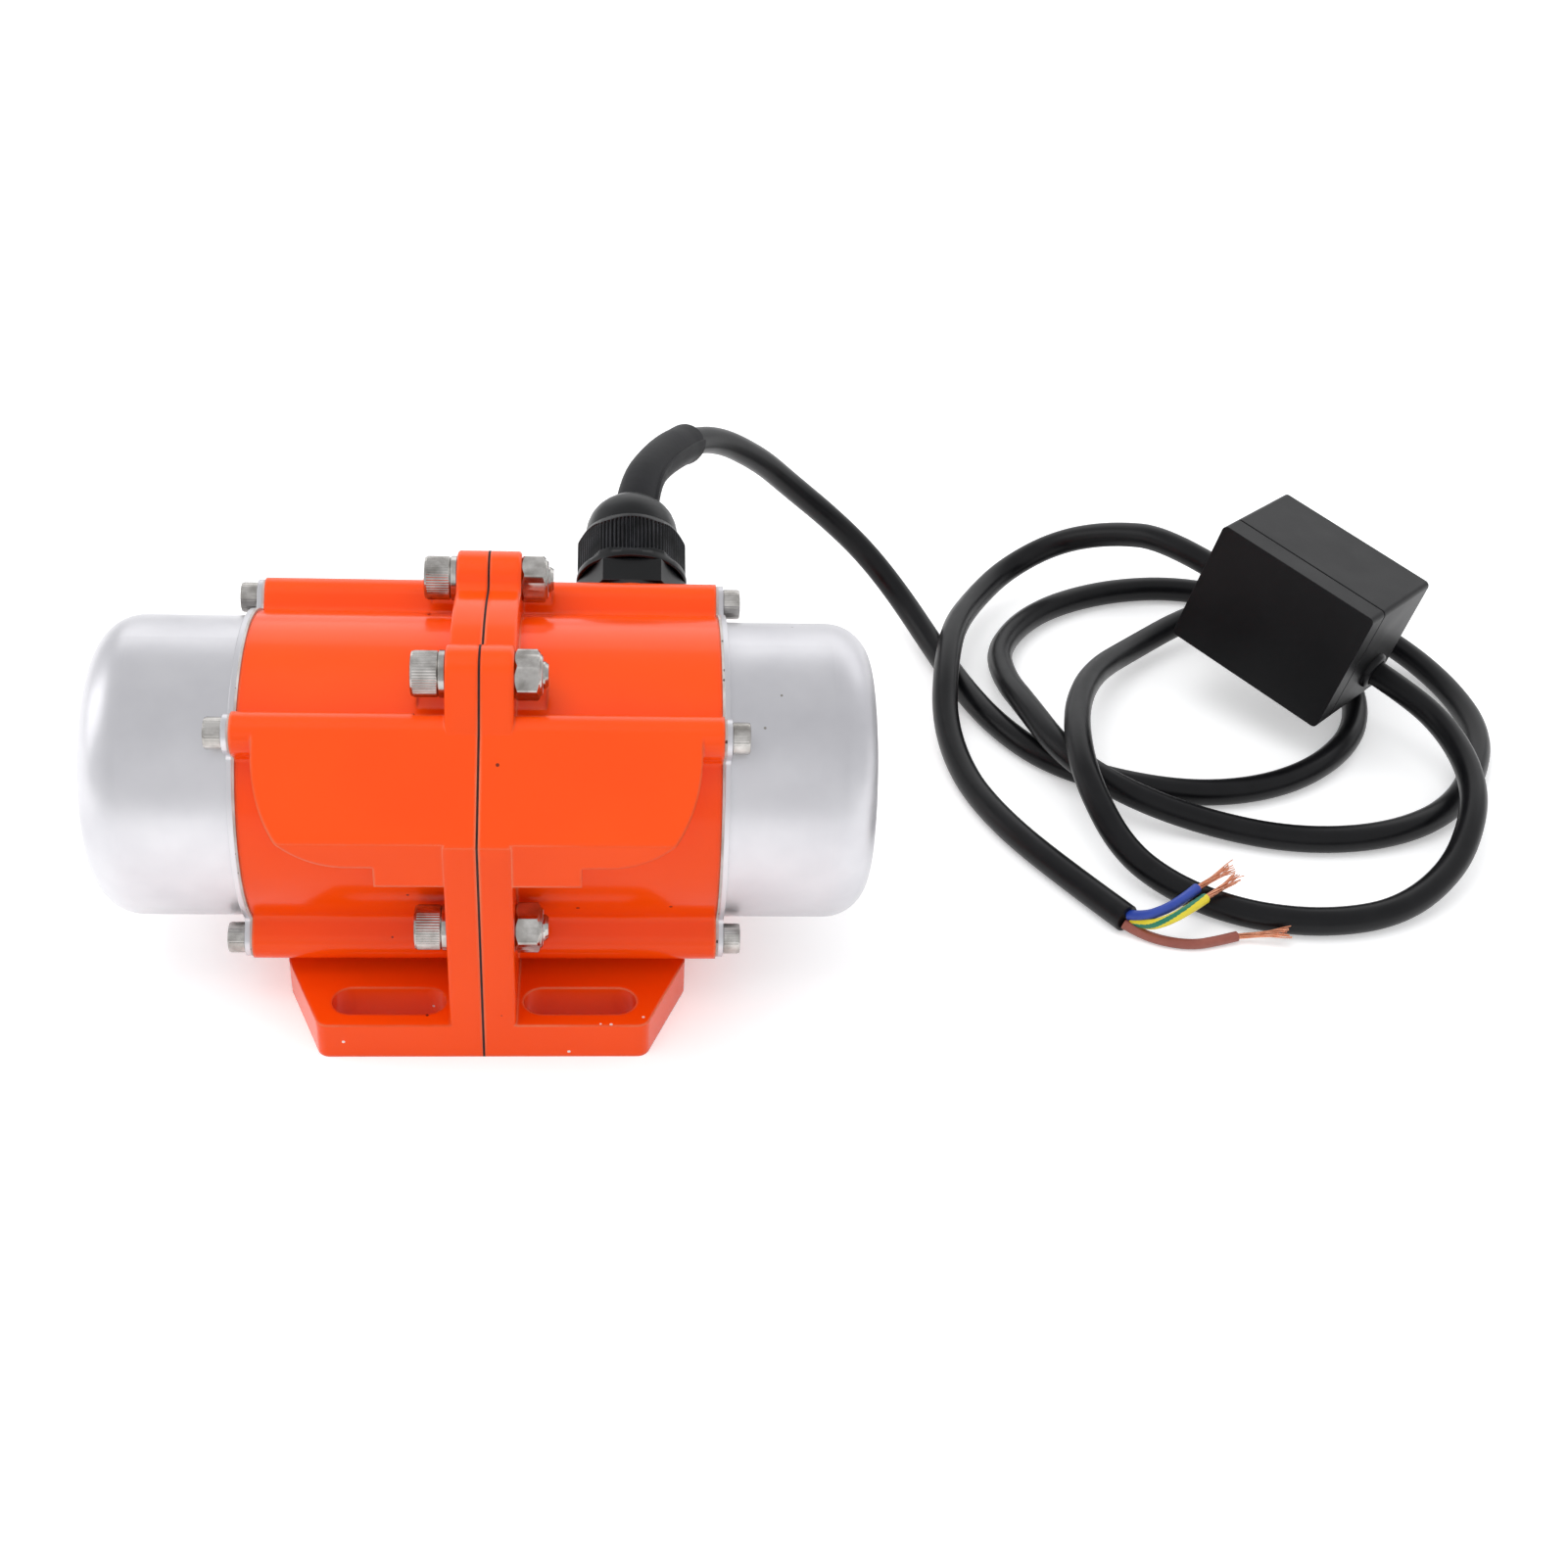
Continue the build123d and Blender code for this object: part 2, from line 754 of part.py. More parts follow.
def fan_outline():
    # hub with a heavy sector hanging below it
    flank_y = 2 * weight_radius * sin(radians(weight_half_angle))
    flank_z = -2 * weight_radius * cos(radians(weight_half_angle))
    with BuildSketch() as fan:
        Circle(weight_radius)
        with BuildLine():
            Polyline(
                (0, 0),
                (flank_y, flank_z),
                (flank_y, -2 * weight_radius),
                (-flank_y, -2 * weight_radius),
                (-flank_y, flank_z),
                close=True,
            )
        make_face(mode=Mode.INTERSECT)
        Circle(weight_hub)
        hub_roots = fan.vertices().filter_by(lambda v: abs(hypot(v.X, v.Y) - weight_hub) < 0.01)
        fillet(hub_roots, weight_fillet)
    return fan.sketch


def fixed_weight(side):
    # keyed to the shaft
    outline = fan_outline()
    with BuildPart() as weight:
        with BuildSketch(across(side * weight_start)):
            add(outline)
            Circle(journal_radius + fit, mode=Mode.SUBTRACT)
            with Locations((0, (key_top + fit) / 2)):
                Rectangle(key_width + 2 * fit, key_top + fit, mode=Mode.SUBTRACT)
        extrude(amount=side * weight_thickness)
    return weight.part


def adjustable_weight(side):
    # clamped to the shaft by a screw through its split ears
    outline = fan_outline()
    with BuildPart() as weight:
        with BuildSketch(across(side * adjustable_start)):
            add(outline)
            with Locations((0, clamp_ear_top / 2)):
                Rectangle(2 * clamp_ear_half, clamp_ear_top)
            Circle(journal_radius + swivel_gap, mode=Mode.SUBTRACT)
            with Locations((0, clamp_ear_top / 2)):
                Rectangle(clamp_slit, clamp_ear_top, mode=Mode.SUBTRACT)
        extrude(amount=side * weight_thickness)
        with BuildSketch(shaft_section.offset(-clamp_ear_half)):
            with Locations((side * clamp_middle, clamp_height_place)):
                Circle(clamp_shank + thread_gap)
        extrude(amount=2 * clamp_ear_half, mode=Mode.SUBTRACT)
    return weight.part


def clamp_screw(side):
    with BuildPart() as screw:
        with BuildSketch(shaft_section.offset(clamp_ear_half)):
            with Locations((side * clamp_middle, clamp_height_place)):
                Circle(clamp_head)
        extrude(amount=clamp_height)
        with BuildSketch(shaft_section.offset(clamp_ear_half + clamp_height)):
            with Locations((side * clamp_middle, clamp_height_place)):
                RegularPolygon(clamp_hexagon / 2, 6, major_radius=False)
        extrude(amount=-socket_share * clamp_height, mode=Mode.SUBTRACT)
        with BuildSketch(shaft_section.offset(clamp_ear_half)):
            with Locations((side * clamp_middle, clamp_height_place)):
                Circle(clamp_shank)
        extrude(amount=-2 * clamp_ear_half)
    return screw.part


for name, side in sides.items():
    save(fixed_weight(side), f"weight_fixed_{name}")
    save(adjustable_weight(side), f"weight_adjustable_{name}")
    save(clamp_screw(side), f"clamp_screw_{name}")


# Cable gland
with BuildPart() as gland_body:
    with BuildSketch(gland_level(gland_thread_start)):
        Circle(gland_thread_radius)
    extrude(amount=gland_spigot_top - gland_thread_start)
    with BuildSketch(gland_level(gland_gasket_top)):
        RegularPolygon(gland_across / 2, 6, major_radius=False)
    extrude(amount=gland_hexagon_top - gland_gasket_top)
    with BuildSketch(gland_level(gland_thread_start)):
        Circle(gland_bore)
    extrude(amount=gland_spigot_top - gland_thread_start, mode=Mode.SUBTRACT)
    with BuildSketch(gland_level(gland_hexagon_top)):
        Circle(gland_seal_pocket)
    extrude(amount=gland_spigot_top - gland_hexagon_top, mode=Mode.SUBTRACT)
save(gland_body.part, "gland_body")

with BuildPart() as gland_gasket:
    with BuildSketch(gland_level(gland_boss_top)):
        Circle(gland_gasket_radius)
        Circle(gland_thread_radius + thread_gap, mode=Mode.SUBTRACT)
    extrude(amount=gland_gasket_top - gland_boss_top)
save(gland_gasket.part, "gland_gasket")

with BuildPart() as gland_seal:
    with BuildSketch(gland_level(gland_hexagon_top)):
        Circle(gland_seal_pocket - fit)
        Circle(cable_radius + cable_fit, mode=Mode.SUBTRACT)
    extrude(amount=gland_spigot_top - gland_hexagon_top + joint_thickness)
save(gland_seal.part, "gland_seal")

with BuildPart() as gland_nut:
    with BuildSketch(gland_level(gland_hexagon_top + fit)):
        Circle(nut_rim_radius)
    extrude(amount=nut_rim_top - gland_hexagon_top - fit)
    with BuildSketch(gland_level(nut_rim_top)):
        RegularPolygon(gland_across / 2, 6, major_radius=False)
    extrude(amount=nut_band_top - nut_rim_top)
    dome_bulge = (nut_dome_radius + nut_top_radius) / 2 + nut_dome_swell
    with BuildSketch(gland_section):
        with BuildLine():
            Polyline(
                (nut_top_radius, nut_top),
                (0, nut_top),
                (0, nut_band_top),
                (nut_dome_radius, nut_band_top),
            )
            ThreePointArc(
                (nut_dome_radius, nut_band_top),
                (dome_bulge, (nut_band_top + nut_top) / 2),
                (nut_top_radius, nut_top),
            )
        make_face()
    revolve(axis=gland_axis)
    with BuildSketch(gland_section):
        with BuildLine():
            Polyline(
                (0, gland_hexagon_top),
                (gland_thread_radius + thread_gap, gland_hexagon_top),
                (gland_thread_radius + thread_gap, nut_wall_top),
                (nut_mouth, nut_wall_top + gland_thread_radius - nut_mouth),
                (nut_mouth, nut_top),
                (0, nut_top),
                close=True,
            )
        make_face()
    revolve(axis=gland_axis, mode=Mode.SUBTRACT)
save(gland_nut.part, "gland_nut")


# Cables: straight runs joined by tangent arcs


def on_gland(distance):
    return tuple(gland_origin + gland_direction * distance)


right_hole = box_point(box_length / 2, box_cable_height, box_cable_depth)
left_hole = box_point(-box_length / 2, box_cable_height, box_cable_depth)

motor_route = [
    on_gland(cable_start), on_gland(80), (39.5, 92, 84.3), (53.5, 119.5, 73), (65, 134, 60.5),
    (76, 142.5, 48.5), (90.5, 149, 34.5), (105.5, 148.5, 22.5), (118.2, 138.5, 11.5),
    (125.2, 119.5, 4.9), (129.5, 100, 3.8), (136, 82, lying), (147, 65, lying), (163, 54.5, lying),
    (184, 49, lying), (205, 52, lying), (224, 62.5, lying), (238.5, 81, lying), (244, 105, lying),
    (240, 130, lying), (226, 150, lying), (203, 160, lying), (177.5, 156.5, lying), (154.5, 143, 3.9),
    (140.5, 121, 6.5), (138.5, 98.5, 14), (141.5, 77, 14.5), (148.5, 58, 14.5), (162.5, 44, 9.5),
    (183, 35.5, 4.5), (206, 30, lying), (230, 31, lying), (252, 40.5, lying), (267.5, 58, lying),
    (275.5, 80, 3.8), (274, 104, 5.5), (262.5, 124, 10), (244, 136, 14.8), (221, 141, 14.8),
    (199, 134, 10.5), (180.5, 119, 8), (167, 100, 13), (158, 78, 21), (153.5, 57, 25),
    (153.5, 36, 20), (159, 19.5, 11), (170, 6.5, 5), (186, -2.5, lying), (206, -6, lying),
    (227, -1, 3.9), (244, 12, 9), (254, 29, 15), (259.5, 45.5, 15.5), (257.8, 63, 15.6),
    tuple(right_hole + box_along * 14), tuple(right_hole - box_along * box_cable_length),
]
supply_route = [
    tuple(left_hole + box_along * box_cable_length), tuple(left_hole - box_along * 17), (178.5, 146.5, 33.5),
    (161.5, 154.5, 28.5), (143.8, 152.5, 23), (132, 139.5, 18.5), (126, 121, 17.3), (122.5, 100, 15),
    (120, 79.5, 7), (122.5, 58, 3.8), (128.5, 39, lying), (140.5, 18, lying), (155.5, -3.5, lying),
]


def corner_radii(route):
    # each arc is as large as the two runs beside it allow
    radii = []
    for before, corner, after in zip(route, route[1:], route[2:]):
        first = Vector(*corner) - Vector(*before)
        second = Vector(*after) - Vector(*corner)
        half_turn = radians(first.get_angle(second)) / 2
        radii.append(0.45 * min(first.length, second.length) / tan(half_turn))
    return radii


def tube(route, radii, outer, inner=0):
    with BuildPart() as piece:
        with BuildLine() as path:
            FilletPolyline(*route, radius=radii)
        middle = path.wire()
        with BuildSketch(Plane(origin=middle @ 0, z_dir=middle % 0)):
            Circle(outer)
            if inner:
                Circle(inner, mode=Mode.SUBTRACT)
        sweep(path=middle)
    section = pi * (outer**2 - inner**2)
    share = piece.part.volume / (section * middle.length)
    print(f"length {middle.length:.1f}, volume share {share:.4f}")
    return piece.part


motor_radii = corner_radii(motor_route)
supply_radii = corner_radii(supply_route)
print("motor cable radii", [round(r) for r in motor_radii])
print("supply lead radii", [round(r) for r in supply_radii])
save(tube(motor_route, motor_radii, cable_radius), "motor_cable")
save(tube(supply_route, supply_radii, cable_radius), "supply_lead")

# the sleeve follows the cable's first two bends
sleeve_end = Vector(*motor_route[2]) * 0.45 + Vector(*motor_route[3]) * 0.55
sleeve_route = [on_gland(sleeve_start), *motor_route[1:3], tuple(sleeve_end)]
sleeve = tube(sleeve_route, motor_radii[:2], sleeve_radius, cable_radius + cable_fit)
save(sleeve, "cable_sleeve")

# cores of the supply lead, side by side in its cut end, each with its bared copper beyond it
cut_end = Vector(*supply_route[-1])
cut_facing = (cut_end - Vector(*supply_route[-2])).normalized()
cut_across = cut_facing.cross(Vector(0, 0, 1))


def core_start(sideways, up):
    # first two points of a core: it leaves the cut end squarely
    start = cut_end + cut_across * sideways + Vector(0, 0, up)
    return [tuple(start), tuple(start + cut_facing * core_straight)]


core_routes = {
    "blue": core_start(-0.3, 1.6) + [(163, -6.2, 9), (168.5, -3, 11.2), (173.7, 1.3, 11.4)],
    "earth": core_start(-1.3, -0.9) + [(164.8, -8.8, 6.4), (170, -6.6, 10.2), (175.5, -2.5, 11)],
    "brown": core_start(1.5, -0.7) + [(163.2, -11.8, 1.7), (171, -12, 1.4), (182, -10.4, 1.4)],
}
strand_ends = {
    "blue": [(179.2, 5.6, 11.2), (184.6, 9.6, 11)],
    "earth": [(180.6, 1.7, 11.2), (185.6, 6.2, 11)],
    "brown": [(190, -10.8, 1.3), (197, -10.9, 1.2)],
}
for colour, route in core_routes.items():
    core_radii = corner_radii(route)
    print(colour, "core radii", [round(r) for r in core_radii])
    save(tube(route, core_radii, core_radius), f"core_{colour}")
    strands = [route[-1], *strand_ends[colour]]
    save(tube(strands, corner_radii(strands), strand_radius), f"copper_{colour}")


# Capacitor box


def box_block(start, end, inset):
    # block of the box between two distances along the way that it faces
    with BuildPart() as block:
        with BuildSketch(box_plane.offset(start)):
            Rectangle(box_length - 2 * inset, box_height - 2 * inset)
        extrude(amount=end - start)
    return block.part


lid_seat = box_depth / 2 - box_lid
facing_axis = Axis((0, 0, 0), box_facing)
with BuildPart() as capacitor_case:
    add(box_block(-box_depth / 2, lid_seat, 0))
    fillet(capacitor_case.edges().filter_by(facing_axis), box_edge)
    # the case and the lid are bevelled where they meet, which shows as a fine seam
    chamfer(capacitor_case.faces().sort_by(facing_axis)[-1].edges(), box_seam)
    add(box_block(-box_depth / 2 + box_wall, lid_seat, box_wall), mode=Mode.SUBTRACT)
    hole_plane = Plane(origin=right_hole, z_dir=box_along)
    with BuildSketch(hole_plane):
        Circle(cable_radius + cable_fit)
    extrude(amount=-box_length, mode=Mode.SUBTRACT)
save(capacitor_case.part, "capacitor_case")

with BuildPart() as capacitor_lid:
    add(box_block(lid_seat, box_depth / 2, 0))
    fillet(capacitor_lid.edges().filter_by(facing_axis), box_edge)
    chamfer(capacitor_lid.faces().sort_by(facing_axis)[0].edges(), box_seam)
    add(box_block(lid_seat - box_wall, lid_seat, box_wall + thread_gap))
save(capacitor_lid.part, "capacitor_lid")

with BuildPart() as capacitor_element:
    element_place = box_point(0, 0, -box_depth / 2 + box_wall + element_radius)
    with BuildSketch(Plane(origin=element_place, z_dir=box_along)):
        Circle(element_radius)
    extrude(amount=element_length / 2, both=True)
save(capacitor_element.part, "capacitor_element")
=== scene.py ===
import bmesh
import bpy
import json
from math import cos, pi, radians, sin
from mathutils import Matrix, Vector
from random import Random


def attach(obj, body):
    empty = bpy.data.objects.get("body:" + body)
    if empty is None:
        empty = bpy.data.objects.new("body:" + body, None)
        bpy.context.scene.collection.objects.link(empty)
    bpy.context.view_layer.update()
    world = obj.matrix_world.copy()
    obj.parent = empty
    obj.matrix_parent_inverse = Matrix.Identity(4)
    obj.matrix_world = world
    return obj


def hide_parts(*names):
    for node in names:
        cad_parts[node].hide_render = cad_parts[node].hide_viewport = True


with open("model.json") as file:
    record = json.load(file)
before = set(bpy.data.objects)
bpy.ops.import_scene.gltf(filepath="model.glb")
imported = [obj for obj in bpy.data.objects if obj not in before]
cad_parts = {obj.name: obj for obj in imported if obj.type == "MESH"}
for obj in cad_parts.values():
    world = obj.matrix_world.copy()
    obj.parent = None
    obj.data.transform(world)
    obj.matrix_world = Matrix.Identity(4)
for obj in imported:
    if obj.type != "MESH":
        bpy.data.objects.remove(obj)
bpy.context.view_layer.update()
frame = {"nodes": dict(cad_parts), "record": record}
nodes = frame["nodes"]
mm = 0.001
print("frame loaded:", len(nodes), "nodes")


# camera, as the photograph looks at the motor

camera = {
    "place": (28.02, -408.36, 334.59),  # mm
    "yaw": 5.672, "pitch": 35.559, "roll": 3.808,
    "lens": 49.17, "sensor": 36,
}


def buildCamera(look):
    yaw, pitch, roll = (radians(look[k]) for k in ("yaw", "pitch", "roll"))
    ahead = Vector((sin(yaw) * cos(pitch), cos(yaw) * cos(pitch), -sin(pitch)))
    level = Vector((cos(yaw), -sin(yaw), 0))
    upright = level.cross(ahead)
    right = level * cos(roll) + upright * sin(roll)
    up = upright * cos(roll) - level * sin(roll)
    data = bpy.data.cameras.new("camera")
    data.lens, data.sensor_width = look["lens"], look["sensor"]
    data.clip_start, data.clip_end = 0.01, 50
    rig = bpy.data.objects.new("camera", data)
    bpy.context.scene.collection.objects.link(rig)
    turn = Matrix((right, up, -ahead)).transposed().to_4x4()
    rig.matrix_world = Matrix.Translation(Vector(look["place"]) * mm) @ turn
    bpy.context.scene.camera = rig


buildCamera(camera)
print("camera placed")


# finishes: every one is a node tree with colour mottle, uneven gloss and a fine bump; some also get
# a painted highlight along rounded edges

def linear(code):
    # colour code to the linear values that sockets take
    parts = [int(code[i:i + 2], 16) / 255 for i in (0, 2, 4)]
    return [p / 12.92 if p <= 0.04045 else ((p + 0.055) / 1.055) ** 2.4 for p in parts] + [1.0]


def putterFor(tree):
    # adds a shader node, with each input linked or set
    def put(kind, inputs=None, **settings):
        node = tree.nodes.new("ShaderNode" + kind)
        for key, value in settings.items():
            setattr(node, key, value)
        for key, value in (inputs or {}).items():
            if isinstance(value, bpy.types.NodeSocket):
                tree.links.new(value, node.inputs[key])
            else:
                node.inputs[key].default_value = value
        return node
    return put


def newTree(name):
    finish = bpy.data.materials.new(name)
    finish.use_nodes = True
    return finish, finish.node_tree, putterFor(finish.node_tree)


def blendOf(put, factor, first, second):
    # colour between two, by a factor
    mix = put("Mix", {0: factor, 6: first, 7: second}, data_type="RGBA")
    return mix.outputs[2]


def ranged(put, value, start, end, low=0.0, high=1.0, kind="LINEAR"):
    # value carried over from one span to another
    return put("MapRange", {
        "Value": value, "From Min": start, "From Max": end, "To Min": low, "To Max": high,
    }, interpolation_type=kind).outputs[0]


def combined(put, operation, first, second):
    # two values in one
    return put("Math", {0: first, 1: second}, operation=operation).outputs[0]


def spotsOn(put, coords, colour, spots):
    # small spots: how fine, how rare, how wide, their colour and the height that they stop at
    height = put("SeparateXYZ", {0: coords}).outputs[2]
    for scale, rare, size, spot, top in spots:
        cells = put("TexVoronoi", {"Vector": coords, "Scale": scale}).outputs
        pick = put("SeparateColor", {"Color": cells["Color"]}).outputs[0]
        near = combined(put, "LESS_THAN", cells["Distance"], size)
        chosen = combined(put, "GREATER_THAN", pick, rare)
        lowDown = combined(put, "LESS_THAN", height, top)
        mask = combined(put, "MULTIPLY", combined(put, "MULTIPLY", near, chosen), lowDown)
        colour = blendOf(put, mask, colour, linear(spot))
    return colour


# parts of the noise, or of an edge's turn, over which each of these goes from end to end
spans = {"colour": (0.3, 0.7), "gloss": (0.2, 0.8), "paintedHighlightShare": (0.35, 0.65), "rim": (0.985, 0.8)}


def makeFinish(name, look):
    finish, tree, put = newTree(name)
    shader = tree.nodes["Principled BSDF"]
    coords = put("TexCoord").outputs["Object"]
    stretch = look.get("stretch", (1, 1, 1))
    stretched = put("Mapping", {"Vector": coords, "Scale": stretch}).outputs[0]

    def noise(scale, detail):
        return put("TexNoise", {"Vector": stretched, "Scale": scale, "Detail": detail}).outputs[0]

    cloud, grain = noise(look["cloudScale"], 4.0), noise(look["grainScale"], 3.0)
    mottle = ranged(put, cloud, *spans["colour"])
    colour = blendOf(put, mottle, linear(look["colour"]), linear(look["shade"]))
    colour = spotsOn(put, coords, colour, look.get("spots", []))
    bump = put("Bump", {
        "Height": grain, "Strength": look.get("bump", 0.2), "Distance": look["bumpDepth"] * mm,
    })
    if look.get("edge"):
        rounded = put("Bevel", {"Radius": look["edge"] * mm}, samples=6).outputs[0]
        tree.links.new(rounded, bump.inputs["Normal"])
    if look.get("rim"):
        # painted highlight: paler where the rounded edge turns away from the flat face, more in some
        # places
        flat = put("NewGeometry").outputs["Normal"]
        apart = put("VectorMath", {0: rounded, 1: flat}, operation="DOT_PRODUCT").outputs["Value"]
        share = ranged(put, cloud, *spans["paintedHighlightShare"], high=look["paintedHighlightShare"])
        rim = ranged(put, apart, *spans["rim"], high=share, kind="SMOOTHSTEP")
        colour = blendOf(put, rim, colour, linear(look["rim"]))
    gloss = ranged(put, cloud, *spans["gloss"], *look["gloss"])
    tree.links.new(colour, shader.inputs["Base Color"])
    tree.links.new(gloss, shader.inputs["Roughness"])
    tree.links.new(bump.outputs[0], shader.inputs["Normal"])
    for key, value in look.get("sockets", {}).items():
        shader.inputs[key].default_value = value
    return finish


# colours and their shade, roughness from and to, scales of the noise, bump and edges in mm
looks = {
    "orange_paint": {
        "colour": "FA5008", "shade": "F54B05", "gloss": (0.18, 0.25), "cloudScale": 30,
        # rim: pale orange painted as a highlight along the rounded edges
        "grainScale": 420, "bump": 0.12, "bumpDepth": 0.1, "edge": 1.2, "rim": "FFA47C",
        "paintedHighlightShare": 0.75,
        "spots": [(420.0, 0.94, 0.16, "F3E3DA", 0.013), (240.0, 0.97, 0.1, "7A2A14", 1.0)],
        "sockets": {"Coat Weight": 0.16, "Coat Roughness": 0.05, "Specular IOR Level": 0.18},
    },
    "cap_steel": {
        "colour": "D8D7DA", "shade": "CAC9CD", "gloss": (0.34, 0.44), "cloudScale": 45,
        "grainScale": 1600, "bump": 0.06, "bumpDepth": 0.02, "edge": 0.3,
        "spots": [(260.0, 0.96, 0.1, "9A9690", 1.0)], "sockets": {"Metallic": 1.0},
    },
    "gasket_fibre": {
        "colour": "3C1A12", "shade": "240F0B", "gloss": (0.7, 0.9), "cloudScale": 300,
        "grainScale": 1200, "bumpDepth": 0.1,
    },
    "cap_gasket_edge": {
        "colour": "C9C5C1", "shade": "A8A19A", "gloss": (0.5, 0.7), "cloudScale": 220,
        "grainScale": 1200, "bumpDepth": 0.08, "spots": [(700.0, 0.7, 0.3, "4A3A34", 1.0)],
    },
    "zinc_steel": {
        "colour": "CBC8C4", "shade": "918D88", "gloss": (0.1, 0.2), "cloudScale": 260,
        "grainScale": 1500, "bump": 0.08, "bumpDepth": 0.02, "edge": 0.12,
        "sockets": {"Metallic": 1.0},
    },
    "nylon": {
        "colour": "C9CDD2", "shade": "B4B9C0", "gloss": (0.35, 0.5), "cloudScale": 300,
        "grainScale": 900, "bumpDepth": 0.03,
        "sockets": {"Subsurface Weight": 0.2, "Subsurface Scale": 0.001},
    },
    "lamination_steel": {
        "colour": "8C8C90", "shade": "6D6D72", "gloss": (0.35, 0.5), "cloudScale": 120,
        "grainScale": 2500, "stretch": (8, 1, 1), "bumpDepth": 0.1, "sockets": {"Metallic": 1.0},
    },
    "winding_copper": {
        "colour": "B5652F", "shade": "8E4518", "gloss": (0.25, 0.4), "cloudScale": 260,
        "grainScale": 900, "stretch": (1, 6, 6), "bump": 0.8, "bumpDepth": 0.4,
        "sockets": {"Metallic": 0.7, "Coat Weight": 0.6},
    },
    "cast_aluminium": {
        "colour": "C4C5C8", "shade": "A8A9AC", "gloss": (0.4, 0.55), "cloudScale": 200,
        "grainScale": 1500, "bumpDepth": 0.1, "sockets": {"Metallic": 1.0},
    },
    "ground_steel": {
        "colour": "B9B9BD", "shade": "A2A2A6", "gloss": (0.18, 0.28), "cloudScale": 200,
        "grainScale": 1800, "stretch": (6, 1, 1), "bumpDepth": 0.03, "sockets": {"Metallic": 1.0},
    },
    "bearing_steel": {
        "colour": "D0D0D4", "shade": "BEBEC3", "gloss": (0.08, 0.16), "cloudScale": 200,
        "grainScale": 1800, "bumpDepth": 0.01, "sockets": {"Metallic": 1.0},
    },
    "seal_rubber": {
        "colour": "1A1A1B", "shade": "101011", "gloss": (0.55, 0.7), "cloudScale": 200,
        "grainScale": 1400, "bumpDepth": 0.05,
    },
    "weight_steel": {
        "colour": "8F8F92", "shade": "747477", "gloss": (0.32, 0.5), "cloudScale": 90,
        "grainScale": 900, "bumpDepth": 0.08, "edge": 0.4, "sockets": {"Metallic": 1.0},
    },
    "gland_plastic": {
        "colour": "08090A", "shade": "0C0D0F", "gloss": (0.28, 0.4), "cloudScale": 160,
        # rim: grey painted as a highlight on the rounded edges and the rib crests
        "grainScale": 1500, "bumpDepth": 0.03, "edge": 0.25, "rim": "606167", "paintedHighlightShare": 1.0,
        "sockets": {"Specular IOR Level": 0.3},
    },
    "sleeve_rubber": {
        "colour": "131315", "shade": "1C1C1F", "gloss": (0.5, 0.62), "cloudScale": 120,
        "grainScale": 900, "bump": 0.35, "bumpDepth": 0.1, "sockets": {"Specular IOR Level": 0.25},
    },
    "cable_jacket": {
        "colour": "0B0B0D", "shade": "111113", "gloss": (0.28, 0.38), "cloudScale": 150,
        "grainScale": 1100, "bump": 0.2, "bumpDepth": 0.04,
        "sockets": {"Specular IOR Level": 0.22},
    },
    "box_plastic": {
        "colour": "070709", "shade": "0A0A0C", "gloss": (0.36, 0.46), "cloudScale": 70,
        "grainScale": 1700, "bump": 0.3, "bumpDepth": 0.04, "edge": 0.5,
        "sockets": {"Specular IOR Level": 0.22},
    },
    "capacitor_film": {
        "colour": "D8D6CB", "shade": "C9C6B8", "gloss": (0.2, 0.3), "cloudScale": 90,
        "grainScale": 700, "bumpDepth": 0.05,
    },
    "core_brown_plastic": {
        "colour": "9A5547", "shade": "8B483B", "gloss": (0.3, 0.42), "cloudScale": 240,
        "grainScale": 900, "bumpDepth": 0.04,
    },
    "core_blue_plastic": {
        "colour": "2846A6", "shade": "1F3C98", "gloss": (0.3, 0.42), "cloudScale": 240,
        "grainScale": 900, "bumpDepth": 0.04,
    },
    "core_earth_plastic": {
        "colour": "E4D234", "shade": "D8C226", "gloss": (0.3, 0.42), "cloudScale": 240,
        "grainScale": 900, "bumpDepth": 0.04,
    },
    "core_green_plastic": {
        "colour": "12795C", "shade": "0E6B50", "gloss": (0.3, 0.42), "cloudScale": 240,
        "grainScale": 900, "bumpDepth": 0.04,
    },
    "bare_copper": {
        "colour": "EFAF90", "shade": "DC8F6C", "gloss": (0.22, 0.34), "cloudScale": 500,
        "grainScale": 2600, "bumpDepth": 0.02, "sockets": {"Metallic": 1.0},
    },
}
otherFinish = {"cap_gasket_left": "cap_gasket_edge", "cap_gasket_right": "cap_gasket_edge"}
finishes = {slot: makeFinish(slot, look) for slot, look in looks.items()}
slotOf = {row["node"]: row["material_slot"] for row in frame["record"]["subparts"]}
for name, node in nodes.items():
    node.data.materials.clear()
    node.data.materials.append(finishes[otherFinish.get(name, slotOf[name])])
print("finishes made:", len(finishes))


# stage: pale floor, white tent that is brighter towards the camera and at both sides, soft lamps

stage = {
    "floorSize": 8.0, "floorColour": "F2F2F2", "glow": 0.35,
    "tentColour": "F3F4F6", "tentStrength": 0.86, "frontStrength": 1.05,
    "frontWay": (0.04, -0.84, 0.54), "frontRange": (0.92, 0.99),
    "sideWay": (0.8, 0.5, 0.33), "sideRange": (0.92, 0.99), "sideShare": 1.15,
    "lamps": [
        # name, place, aims at, size, watts, shows in reflections
        ("keyLamp", (-0.3, -0.05, 1.3), (0.05, 0.03, 0.03), (1.0, 0.8), 5.5, False),
        ("backLamp", (0.3, 1.1, 0.7), (0.1, 0.05, 0.03), (2.2, 0.8), 4, True),
        ("leftLamp", (-1.2, 0.2, 0.6), (0.0, 0.0, 0.04), (0.7, 0.9), 2.5, True),
        ("frontFill", (0.1, -1.3, 0.6), (0.05, 0.0, 0.03), (1.2, 0.8), 1.3, False),
    ],
}


